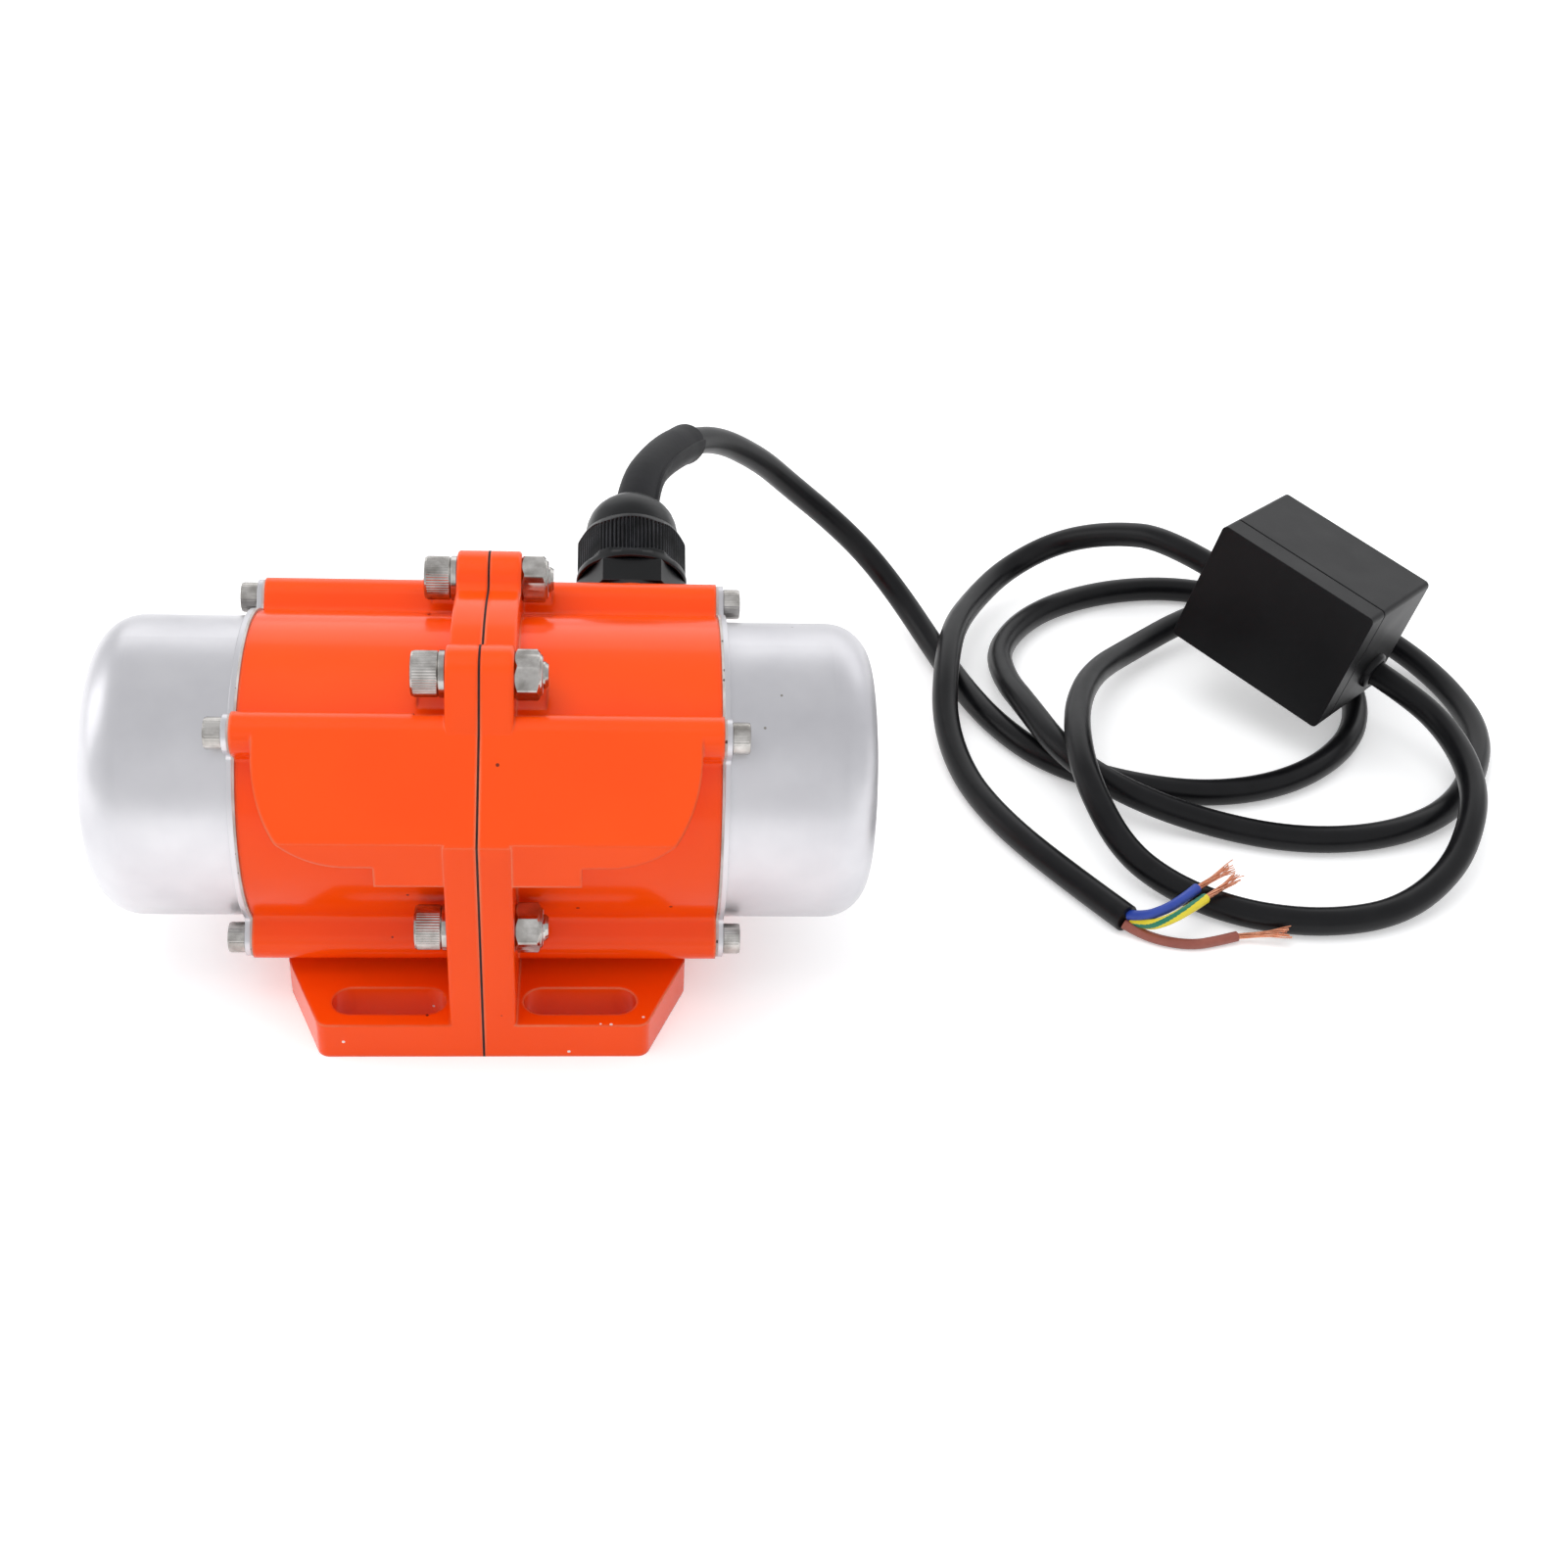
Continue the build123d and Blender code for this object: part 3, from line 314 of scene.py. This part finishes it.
def buildFloor(plan):
    half = plan["floorSize"] / 2
    sheet = bpy.data.meshes.new("studioFloor")
    corners = [(-half, -half, 0), (half, -half, 0), (half, half, 0), (-half, half, 0)]
    sheet.from_pydata(corners, [], [(0, 1, 2, 3)])
    ground = bpy.data.objects.new("studioFloor", sheet)
    bpy.context.scene.collection.objects.link(ground)
    finish, tree, put = newTree("studioFloorPaint")
    tree.nodes.remove(tree.nodes["Principled BSDF"])
    matt = put("BsdfDiffuse", {"Color": linear(plan["floorColour"])}).outputs[0]
    rays = put("LightPath").outputs
    seen = rays["Is Camera Ray"]
    for kind in ("Is Glossy Ray", "Is Transmission Ray"):
        seen = combined(put, "MAXIMUM", seen, rays[kind])
    lift = combined(put, "MULTIPLY", seen, plan["glow"])
    glow = put("Emission", {"Strength": lift}).outputs[0]
    both = put("AddShader", {0: matt, 1: glow}).outputs[0]
    tree.links.new(both, tree.nodes["Material Output"].inputs["Surface"])
    sheet.materials.append(finish)


def levelNear(put, way, centre, span, levels):
    # level that goes from the first to the second near one direction
    near = put("VectorMath", {0: way, 1: centre}, operation="DOT_PRODUCT").outputs["Value"]
    return ranged(put, near, *span, *levels, kind="SMOOTHSTEP")


def buildTent(plan):
    world = bpy.data.worlds.new("studioTent")
    world.use_nodes = True
    bpy.context.scene.world = world
    tree = world.node_tree
    air = tree.nodes["Background"]
    put = putterFor(tree)
    way = put("TexCoord").outputs["Generated"]
    levels = (plan["tentStrength"], plan["frontStrength"])
    level = levelNear(put, way, plan["frontWay"], plan["frontRange"], levels)
    eitherSide = put("VectorMath", {0: way}, operation="ABSOLUTE").outputs[0]
    share = levelNear(put, eitherSide, plan["sideWay"], plan["sideRange"], (1.0, plan["sideShare"]))
    tree.links.new(combined(put, "MULTIPLY", level, share), air.inputs["Strength"])
    air.inputs["Color"].default_value = linear(plan["tentColour"])


def hangLamps(plan):
    for name, place, aim, size, watts, mirrored in plan["lamps"]:
        lamp = bpy.data.lights.new(name, "AREA")
        lamp.shape, lamp.size, lamp.size_y, lamp.energy = "RECTANGLE", size[0], size[1], watts
        holder = bpy.data.objects.new(name, lamp)
        holder.visible_glossy = mirrored
        bpy.context.scene.collection.objects.link(holder)
        way = Vector(aim) - Vector(place)
        turn = way.to_track_quat("-Z", "Y").to_matrix().to_4x4()
        holder.matrix_world = Matrix.Translation(place) @ turn


buildFloor(stage)
buildTent(stage)
hangLamps(stage)
bpy.context.scene.view_settings.view_transform = "Standard"
print("stage built")


# helpers for pieces that are skins over rings of points, in mm

def addPiece(name, shape, finish, replaced=None, sharp=32):
    bmesh.ops.recalc_face_normals(shape, faces=shape.faces)
    sheet = bpy.data.meshes.new(name)
    shape.to_mesh(sheet)
    shape.free()
    for slot in finish:
        sheet.materials.append(finishes[slot])
    sheet.shade_smooth()
    sheet.set_sharp_from_angle(angle=radians(sharp))
    piece = bpy.data.objects.new(name, sheet)
    bpy.context.scene.collection.objects.link(piece)
    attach(piece, "motor")
    if replaced:
        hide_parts(replaced)
    return piece


def skinRings(shape, rings, closed=False):
    # faces between rings of equally many points; an open stack gets end faces
    rows = [[shape.verts.new(Vector(point) * mm) for point in ring] for ring in rings]
    above = rows[1:] + rows[:1] if closed else rows[1:]
    bands = []
    for low, high in zip(rows, above):
        bands.append([
            shape.faces.new((low[i - 1], low[i], high[i], high[i - 1])) for i in range(len(low))
        ])
    if not closed:
        shape.faces.new(rows[0])
        shape.faces.new(rows[-1])
    return bands


def turned(place, axis, lead):
    # frame whose z runs along an axis
    z = Vector(axis).normalized()
    x = (Vector(lead) - z * z.dot(Vector(lead))).normalized()
    turn = Matrix((x, z.cross(x), z)).transposed().to_4x4()
    return Matrix.Translation(place) @ turn


def ringAt(put, height, radius, count, spin=0.0):
    # points round the frame's z, at a height and a radius that may each follow the angle
    ring = []
    for i in range(count):
        angle = 2 * pi * i / count
        r = radius(angle) if callable(radius) else radius
        h = height(angle) if callable(height) else height
        ring.append(put @ Vector((r * cos(angle + spin), r * sin(angle + spin), h)))
    return ring


def hexagon(flat, corner):
    # radius of a hexagon: half its width across flats, and the radius that takes off its corners
    def radius(angle):
        off = (angle + pi / 6) % (pi / 3) - pi / 6
        return min(flat / cos(off), corner)
    return radius


def ridged(radius, depth, ridges, sharpness):
    # fine straight ridges on a radius; under 1 the crests are sharp, over 1 the grooves are
    def wavy(angle):
        base = radius(angle) if callable(radius) else radius
        return base - depth * (0.5 + 0.5 * cos(ridges * angle)) ** sharpness
    return wavy


def alongLine(line, start, end, steps):
    # even points of a line between two distances along it
    marks, total = [0.0], 0.0
    for before, after in zip(line, line[1:]):
        total += (after - before).length
        marks.append(total)
    found, k = [], 0
    for i in range(steps + 1):
        want = start + (end - start) * i / steps
        while k < len(marks) - 2 and marks[k + 1] < want:
            k += 1
        share = (want - marks[k]) / (marks[k + 1] - marks[k])
        found.append(line[k].lerp(line[k + 1], share))
    return found


def framesOn(points):
    # frames along points that don't twist
    frames, side = [], Vector((0, 0, 1))
    for i, point in enumerate(points):
        ahead = (points[min(i + 1, len(points) - 1)] - points[max(i - 1, 0)]).normalized()
        side = (side - ahead * ahead.dot(side)).normalized()
        frames.append(turned(point, ahead, side))
    return frames


# socket head screws: knurled heads with a polished chamfer and a hexagon socket
# from here on lengths are in mm, and turns of a head or coil in radians

shaftHeight = 45.3
flangeBolts = {
    "places": [(-20.2, 38.6), (20.2, 38.6), (-40, -15), (40, -15)],  # y and z from the shaft
    "flangeHalf": 7.3, "washer": 1.5, "radius": 5.0, "height": 6.0, "socket": 2.5,
    "ridges": 48, "depth": 0.22, "shank": 2.98, "tip": 14.5, "firstTurn": 0, "nextTurn": 0.3,
}


def socketHead(shape, put, plan, shankLength, number):
    radius, height, socket, shank = (plan[k] for k in ("radius", "height", "socket", "shank"))
    spin = plan["firstTurn"] + plan["nextTurn"] * number
    count, edge = plan["ridges"] * 4, radius * 0.1
    knurl = ridged(radius, plan["depth"], plan["ridges"], 1.5)
    hole = hexagon(socket, socket * 1.14)
    skinRings(shape, [ringAt(put, h, r, count, turn) for h, r, turn in (
        # shank
        (-shankLength, shank * 0.8, 0), (-shankLength + shank * 0.25, shank, 0), (0, shank, 0),
        # knurled side
        (0, radius - edge * 0.6, 0), (edge * 0.6, radius - 0.05, 0), (edge, knurl, 0),
        (height - edge * 1.5, knurl, 0), (height - edge * 1.2, radius - 0.08, 0),
        # polished chamfer
        (height - edge * 0.4, radius - edge * 0.35, 0), (height - 0.03, radius - edge * 1.1, 0),
        # flat top and socket
        (height, radius - edge * 1.6, 0), (height, socket * 1.2, 0), (height - 0.3, hole, spin),
        (height * 0.45, hole, spin), (height * 0.4, socket * 0.5, spin),
    )])


def buildFlangeBolts(plan):
    bolts, seat = bmesh.new(), -plan["flangeHalf"] - plan["washer"]
    for i, (y, z) in enumerate(plan["places"]):
        put = turned((seat, y, shaftHeight + z), (-1, 0, 0), (0, 1, 0))
        socketHead(bolts, put, plan, plan["tip"] - seat, i)
    addPiece("flangeBolts", bolts, ["zinc_steel"], "flange_bolts")


# spring washers: each is a square coil of nearly one turn, its ends a little apart

springWashers = {
    "inner": 3.1, "outer": 5.15, "lift": 0.12, "corner": 0.1,
    "gapAt": 12, "sweep": 345, "nextGap": 0.9, "steps": 60,
}


def buildSpringWashers(plan, bolts):
    washers, steps = bmesh.new(), plan["steps"]
    inner, outer, lift, corner = (plan[k] for k in ("inner", "outer", "lift", "corner"))
    thick = bolts["washer"] - lift
    for i, (y, z) in enumerate(bolts["places"]):
        put = turned((-bolts["flangeHalf"], y, shaftHeight + z), (-1, 0, 0), (0, 1, 0))
        rings = []
        for k in range(steps + 1):
            angle = radians(plan["gapAt"] + plan["sweep"] * k / steps) + i * plan["nextGap"]
            way, rise = Vector((cos(angle), sin(angle), 0)), lift * k / steps
            rings.append([put @ (way * r + Vector((0, 0, rise + h))) for r, h in (
                (inner, 0), (outer - corner, 0), (outer, corner),
                (outer, thick - corner), (outer - corner, thick), (inner, thick),
            )])
        skinRings(washers, rings)
    addPiece("springWashers", washers, ["zinc_steel"], "lock_washers")


# lock nuts: a hexagon with round chamfers, then the rolled collar over the insert

lockNuts = {
    "flat": 5.0, "corner": 5.66, "chamferFrom": 5.06, "hexStart": 0.12, "hexEnd": 5.25,
    "startSlope": 0.9, "endSlope": -0.8, "turns": [8, 20, 0, 11], "sides": 96,
    "seat": [(0, 3.1), (0, 4.85)],
    "collar": [
        (5.4, 4.95), (5.44, 4.5), (5.7, 4.44), (5.9, 4.25), (5.98, 4.05), (5.9, 3.95),
        (4.4, 3.98), (4.4, 3.1),
    ],
}


def buildLockNuts(plan, bolts):
    nuts, flats = bmesh.new(), hexagon(plan["flat"], plan["corner"])

    def crown(base, slope):
        return lambda angle: base + slope * max(0.0, flats(angle) - plan["chamferFrom"])

    sides = [
        (crown(plan["hexStart"], plan["startSlope"]), flats),
        (crown(plan["hexEnd"], plan["endSlope"]), flats),
    ]
    profile = plan["seat"] + sides + plan["collar"]
    for (y, z), turn in zip(bolts["places"], plan["turns"]):
        put = turned((bolts["flangeHalf"], y, shaftHeight + z), (1, 0, 0), (0, 0, 1))
        rings = [ringAt(put, h, r, plan["sides"], radians(turn)) for h, r in profile]
        skinRings(nuts, rings, closed=True)
    addPiece("flangeLockNuts", nuts, ["zinc_steel"], "flange_nuts")


# cap screws: four at each end

capScrews = {
    "circle": 39.6, "seat": 53.9, "radius": 3.5, "height": 4.0, "socket": 1.5,
    "ridges": 36, "depth": 0.08, "shank": 1.95, "below": 6, "firstTurn": 0.5, "nextTurn": 0.7,
}


def buildCapScrews(plan):
    for name, side in (("left", -1), ("right", 1)):
        screws = bmesh.new()
        for k in range(4):
            angle = radians(45 + 90 * k)
            y, z = plan["circle"] * cos(angle), plan["circle"] * sin(angle)
            put = turned((side * plan["seat"], y, shaftHeight + z), (side, 0, 0), (0, 1, 0))
            socketHead(screws, put, plan, plan["below"], k)
        addPiece("capScrews" + name.title(), screws, ["zinc_steel"], "cap_screws_" + name)


buildFlangeBolts(flangeBolts)
buildSpringWashers(springWashers, flangeBolts)
buildLockNuts(lockNuts, flangeBolts)
buildCapScrews(capScrews)
print("fasteners made")


# cable gland's nut: smooth dome, ribbed hexagon band and a flared rim

gland = {
    "place": (32.5, 0, 45.3), "rise": 28, "mouth": 73, "flat": 12.0, "corner": 13.15,
    "ribs": 84, "ribDepth": 0.65, "ribSharpness": 0.7, "bandTop": 62.9, "bandSlope": 1.1,
    "rim": [
        (53.0, 10.1), (51.2, 11.9), (50.15, 12.6), (50.05, 12.95), (50.3, 13.35), (51.0, 13.4),
        (52.0, 13.1),
    ],
    "dome": [
        (63.1, 11.6), (63.15, 11.3), (64.5, 11.25), (66.5, 10.9), (68.5, 10.2), (70.2, 9.15),
        (71.5, 7.9), (72.4, 6.75), (72.85, 6.3), (73.0, 6.05), (72.95, 5.8), (72.5, 5.7),
        (66.0, 5.7), (61.5, 9.9), (58.0, 10.1),
    ],
}
glandPlace = Vector(gland["place"])
glandWay = Vector((0, cos(radians(gland["rise"])), sin(radians(gland["rise"]))))


def onGland(distance):
    return tuple(glandPlace + glandWay * distance)


def buildGlandNut(plan):
    nut, count = bmesh.new(), plan["ribs"] * 6
    put = turned(glandPlace, glandWay, (1, 0, 0))
    flats = hexagon(plan["flat"], plan["corner"])
    ribs = ridged(flats, plan["ribDepth"], plan["ribs"], plan["ribSharpness"])

    def within(gap):
        return lambda angle: flats(angle) - gap

    def shoulder(drop):
        top = plan["bandTop"] - drop
        return lambda angle: top - plan["bandSlope"] * max(0.0, flats(angle) - plan["flat"])

    band = [
        (52.6, within(0.05)), (53.0, flats), (53.3, ribs),
        (shoulder(1.0), ribs), (shoulder(0.7), within(0.02)), (shoulder(0), within(0.3)),
    ]
    profile = plan["rim"] + band + plan["dome"]
    skinRings(nut, [ringAt(put, h, r, count, radians(30)) for h, r in profile], closed=True)
    addPiece("glandNut", nut, ["gland_plastic"], "gland_nut", sharp=40)


buildGlandNut(gland)
print("gland nut made")


# cords: the same routes as the tubes of the CAD, as smooth splines

motorCable = {
    "radius": 3.6,
    "points": [
        onGland(50), onGland(76.5), (40.5, 91, 80.9), (53.6, 117, 73.2), (68.3, 133, 58.6),
        (79.1, 141, 45.5), (91.2, 145.5, 33.2), (102.7, 144.5, 22.2), (113.1, 136.5, 11.9),
        (122.1, 118.2, 4.9), (128, 99, 3.8), (135.2, 80.8, 3.7), (146.3, 64.7, 3.7),
        (163, 54.6, 3.7), (184, 49.1, 3.7), (205, 52.2, 3.7), (223.6, 63.2, 3.7), (238, 81, 3.7),
        (243.4, 105, 3.7), (239.6, 129.6, 3.7), (226, 149.2, 3.7), (203, 159, 3.7),
        (177.9, 155.6, 3.7), (154.6, 142.2, 3.9), (140.5, 120.6, 4.5), (139.2, 98.5, 8),
        (142.4, 79, 11.6), (148.3, 57.5, 11.6), (162, 42.5, 9.5), (183, 35.8, 4.5),
        (206, 28.8, 3.7), (230, 30.3, 3.7), (250.7, 40.6, 3.7), (265, 59, 3.7), (273.2, 80, 3.7),
        (271.8, 102.5, 3.7), (261.6, 122.6, 6), (244, 135, 10.5), (221, 140.4, 11.6),
        (199.4, 133.4, 8), (180, 118.6, 6), (165.4, 100, 10.5), (155.8, 77, 16), (151, 55, 19),
        (150.9, 35.5, 17), (158.1, 19, 8), (170, 8, 4), (186, -2.1, 3.7), (206, -5.4, 3.7),
        (226.5, -0.6, 3.7), (243.6, 13, 6.5), (253.6, 30, 11), (258.2, 47, 12.5),
        (256.9, 64.5, 14.5), (249.97, 77.18, 17.55), (237.9, 88.64, 21.03),
    ],
}
supplyLead = {
    "radius": 3.6,
    "points": [
        (207.38, 117.63, 29.85), (190.35, 133.81, 34.76), (176.3, 148.6, 28.2),
        (162.3, 158.4, 19.2), (147.4, 156, 10.8), (135.6, 139.6, 9.5), (127, 120.5, 11.6),
        (122.2, 99.5, 11.6), (119.7, 79, 6.5), (122.3, 57.5, 3.7), (129, 38, 3.7), (140.5, 18, 3.7),
        (155.5, -3.5, 3.7),
    ],
}
coreRoutes = {
    "Blue": [
        (155.9, -3.2, 4.6), (159.1, -5.6, 6), (163.2, -6.5, 8.6), (167.7, -4.3, 9.6),
        (173.2, 0.9, 9.8),
    ],
    "Earth": [
        (157, -3.8, 3.2), (160, -7.4, 4.6), (163.5, -9.5, 7.6), (169.5, -7.1, 9.4),
        (174.7, -2.5, 9.4),
    ],
    "Brown": [
        (154.8, -4.2, 2.6), (158.2, -6.4, 1.6), (163.7, -9.5, 1.4), (171, -11, 1.4),
        (177.5, -9.4, 1.4), (182.7, -7.9, 1.7),
    ],
}
copperRoutes = {
    "Blue": [(173.2, 0.9, 9.8), (178.7, 5.1, 9.8), (184.8, 10.4, 9.8)],
    "Earth": [(174.7, -2.5, 9.4), (179.9, 1.5, 9.6), (185.6, 6.4, 9.8)],
    "Brown": [(182.7, -7.9, 1.7), (189.6, -8.2, 2.7), (196.3, -9.3, 4.4)],
}


cordSteps = {"along": 10, "around": 7}


def splineCurve(name, points):
    # open smooth spline from the first point to the last, a little inside the others
    data = bpy.data.curves.new(name, "CURVE")
    data.dimensions = "3D"
    data.resolution_u = cordSteps["along"]
    spline = data.splines.new("NURBS")
    spline.points.add(len(points) - 1)
    for dot, point in zip(spline.points, points):
        dot.co = (*(c * mm for c in point), 1)
    spline.order_u = 3
    spline.use_endpoint_u = True
    cord = bpy.data.objects.new(name, data)
    bpy.context.scene.collection.objects.link(cord)
    return cord


def linePoints(cord):
    # points along the spline in mm, read while it has no thickness
    line = bpy.data.meshes.new_from_object(cord)
    points = [v.co / mm for v in line.vertices]
    bpy.data.meshes.remove(line)
    return points


def lineLength(points):
    return sum((after - before).length for before, after in zip(points, points[1:]))


def layCord(name, plan, node):
    cord = splineCurve(name, plan["points"])
    line = linePoints(cord)
    cord.data.bevel_depth = plan["radius"] * mm
    cord.data.bevel_resolution = cordSteps["around"]
    cord.data.use_fill_caps = True
    cord.data.materials.append(finishes["cable_jacket"])
    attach(cord, "motor")
    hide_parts(node)
    print(f"{name}: {lineLength(line) * mm:.4f} m")
    return cord, line


def shortRoute(name, points):
    # line of a short piece, from a spline that isn't kept
    route = splineCurve(name, points)
    line = linePoints(route)
    bpy.data.objects.remove(route)
    return line


motorCord, motorLine = layCord("motorCable", motorCable, "motor_cable")
supplyCord = layCord("supplyLead", supplyLead, "supply_lead")[0]


# wrapped rubber sleeve: its edge laps over along one line, and its far end is cut at a slant

rubberSleeve = {
    "start": 11.6, "end": 63.5, "steps": 60, "sides": 96, "radius": 5.25, "inner": 3.62,
    "seam": 62, "lap": 0.55, "lapShare": 0.14, "flat": 0.25,  # seam in degrees, lap in mm
    "slant": 1.1, "slantFrom": 0.9, "slantWay": 0.6, "flare": 0.25, "flareFrom": 0.93,
    "wave": 0.12, "waves": 9, "lipDepth": 0.1, "lipWidth": 0.5, "innerRings": 4,
}


def buildSleeve(plan):
    frames = framesOn(alongLine(motorLine, plan["start"], plan["end"], plan["steps"]))
    sleeve, sides, seam = bmesh.new(), plan["sides"], radians(plan["seam"])

    def wrapped(swell):
        def radius(angle):
            around = (angle - seam) % (2 * pi) / (2 * pi)
            lap = plan["lap"] * max(0.0, 1 - around / plan["lapShare"])
            return plan["radius"] + swell + lap - plan["flat"] * sin(angle - seam) ** 2
        return radius

    def slanted(amount, drop=0.0):
        return lambda angle: plan["slant"] * amount * cos(angle - plan["slantWay"]) - drop

    def past(share, start):
        # from none at the start given to one at the far end
        return max(0.0, share - start) / (1 - start)

    rings = []
    for i, put in enumerate(frames):
        share = i / plan["steps"]
        wave = plan["wave"] * sin(plan["waves"] * share)
        swell = wave + plan["flare"] * past(share, plan["flareFrom"])
        rings.append(ringAt(put, slanted(past(share, plan["slantFrom"])), wrapped(swell), sides))
    inside = [ringAt(put, 0, plan["inner"], sides) for put in frames]
    lip = ringAt(frames[-1], slanted(1, plan["lipDepth"]), plan["inner"] + plan["lipWidth"], sides)
    skinRings(sleeve, inside[:1] + rings + [lip] + inside[::-1][:plan["innerRings"]])
    return addPiece("rubberSleeve", sleeve, ["sleeve_rubber"], "cable_sleeve", sharp=50)


sleevePiece = buildSleeve(rubberSleeve)


# cores of the supply lead: the earth core is yellow with two green stripes

coreLook = {"radius": 1.3, "sides": 60, "stripe": 28, "stripeStart": 120, "stripeTurn": -110}


def buildCore(colour, points, plan):
    line = shortRoute("core" + colour, points)
    core = bmesh.new()
    rings = [ringAt(put, 0, plan["radius"], plan["sides"]) for put in framesOn(line)]
    bands = skinRings(core, rings)
    finish = [f"core_{colour.lower()}_plastic"]
    if colour == "Earth":
        finish.append("core_green_plastic")
        for k, band in enumerate(bands):
            middle = plan["stripeStart"] + plan["stripeTurn"] * k / len(bands)
            for i, face in enumerate(band):
                off = (360 * i / plan["sides"] - middle + 90) % 180 - 90
                face.material_index = 1 if abs(off) < plan["stripe"] else 0
    return addPiece("core" + colour, core, finish, f"core_{colour.lower()}", sharp=50)


# bared copper: fine strands that turn together and fan out at the end

copperLook = {
    "rings": [(0.25, 4), (1.0, 13)],  # share of the bundle's radius, strands
    "bundle": 0.6, "radius": 0.14, "sides": 6, "steps": 24, "turn": 2.2, "seed": 11,
    "leaveAt": 0.3, "spread": 1.7, "uneven": 0.15, "leaning": (0.5, 1.7), "reach": (0.82, 1.0),
}


def buildCopper(colour, points, plan, seed):
    line = shortRoute("copper" + colour, points)
    steps = plan["steps"]
    frames = framesOn(alongLine(line, 0, lineLength(line), steps))
    dice, copper = Random(seed), bmesh.new()
    places = [(ring, 2 * pi * k / count) for ring, count in plan["rings"] for k in range(count)]
    for ring, angle in places:
        angle += dice.uniform(-plan["uneven"], plan["uneven"])
        leaning, reach = dice.uniform(*plan["leaning"]), dice.uniform(*plan["reach"])
        strand = []
        for i in range(int(steps * reach) + 1):
            share = i / steps
            fanned = max(0.0, share - plan["leaveAt"]) ** 2
            far = plan["bundle"] * ring + plan["spread"] * leaning * fanned
            spin = angle + plan["turn"] * share
            strand.append(frames[i] @ Vector((far * cos(spin), far * sin(spin), 0)))
        rings = [ringAt(put, 0, plan["radius"], plan["sides"]) for put in framesOn(strand)]
        skinRings(copper, rings)
    return addPiece("copper" + colour, copper, ["bare_copper"], f"copper_{colour.lower()}", sharp=60)


supplyPieces = [buildCore(colour, points, coreLook) for colour, points in coreRoutes.items()]
for number, (colour, points) in enumerate(copperRoutes.items()):
    supplyPieces.append(buildCopper(colour, points, copperLook, copperLook["seed"] + number))


# cut end of the supply lead's jacket: a rim with the filler set back in it

cutEnd = {
    "sides": 48,
    "profile": [
        (-2.0, 3.5), (-0.1, 3.58), (0.12, 3.5), (0.2, 3.2), (0.12, 2.9), (-0.5, 2.75), (-0.7, 1.2),
    ],
}


def buildCutEnd(plan):
    last, before = (Vector(p) for p in supplyLead["points"][:-3:-1])
    cut = bmesh.new()
    put = turned(last, last - before, (0, 0, 1))
    skinRings(cut, [ringAt(put, h, r, plan["sides"]) for h, r in plan["profile"]])
    return addPiece("jacketCutEnd", cut, ["cable_jacket"])


supplyPieces.append(buildCutEnd(cutEnd))


# grommets where the two cables go into the capacitor box

grommets = {
    "places": [(240.03, 86.62, 20.42), (205.25, 119.65, 30.46)],
    "way": (0.7097, -0.6741, -0.2049), "sides": 48,
    "profile": [
        (-0.6, 3.7), (-0.6, 5.4), (0.6, 5.4), (1.3, 5.15), (1.7, 4.7), (1.85, 4.1), (1.7, 3.8),
        (1.2, 3.68),
    ],
}


def buildGrommets(plan):
    rubber = bmesh.new()
    for place, hand in zip(plan["places"], (1, -1)):
        put = turned(place, Vector(plan["way"]) * hand, (0, 0, 1))
        rings = [ringAt(put, h, r, plan["sides"]) for h, r in plan["profile"]]
        skinRings(rubber, rings, closed=True)
    return addPiece("cableGrommets", rubber, ["cable_jacket"])


grommetPiece = buildGrommets(grommets)


print("cords laid")
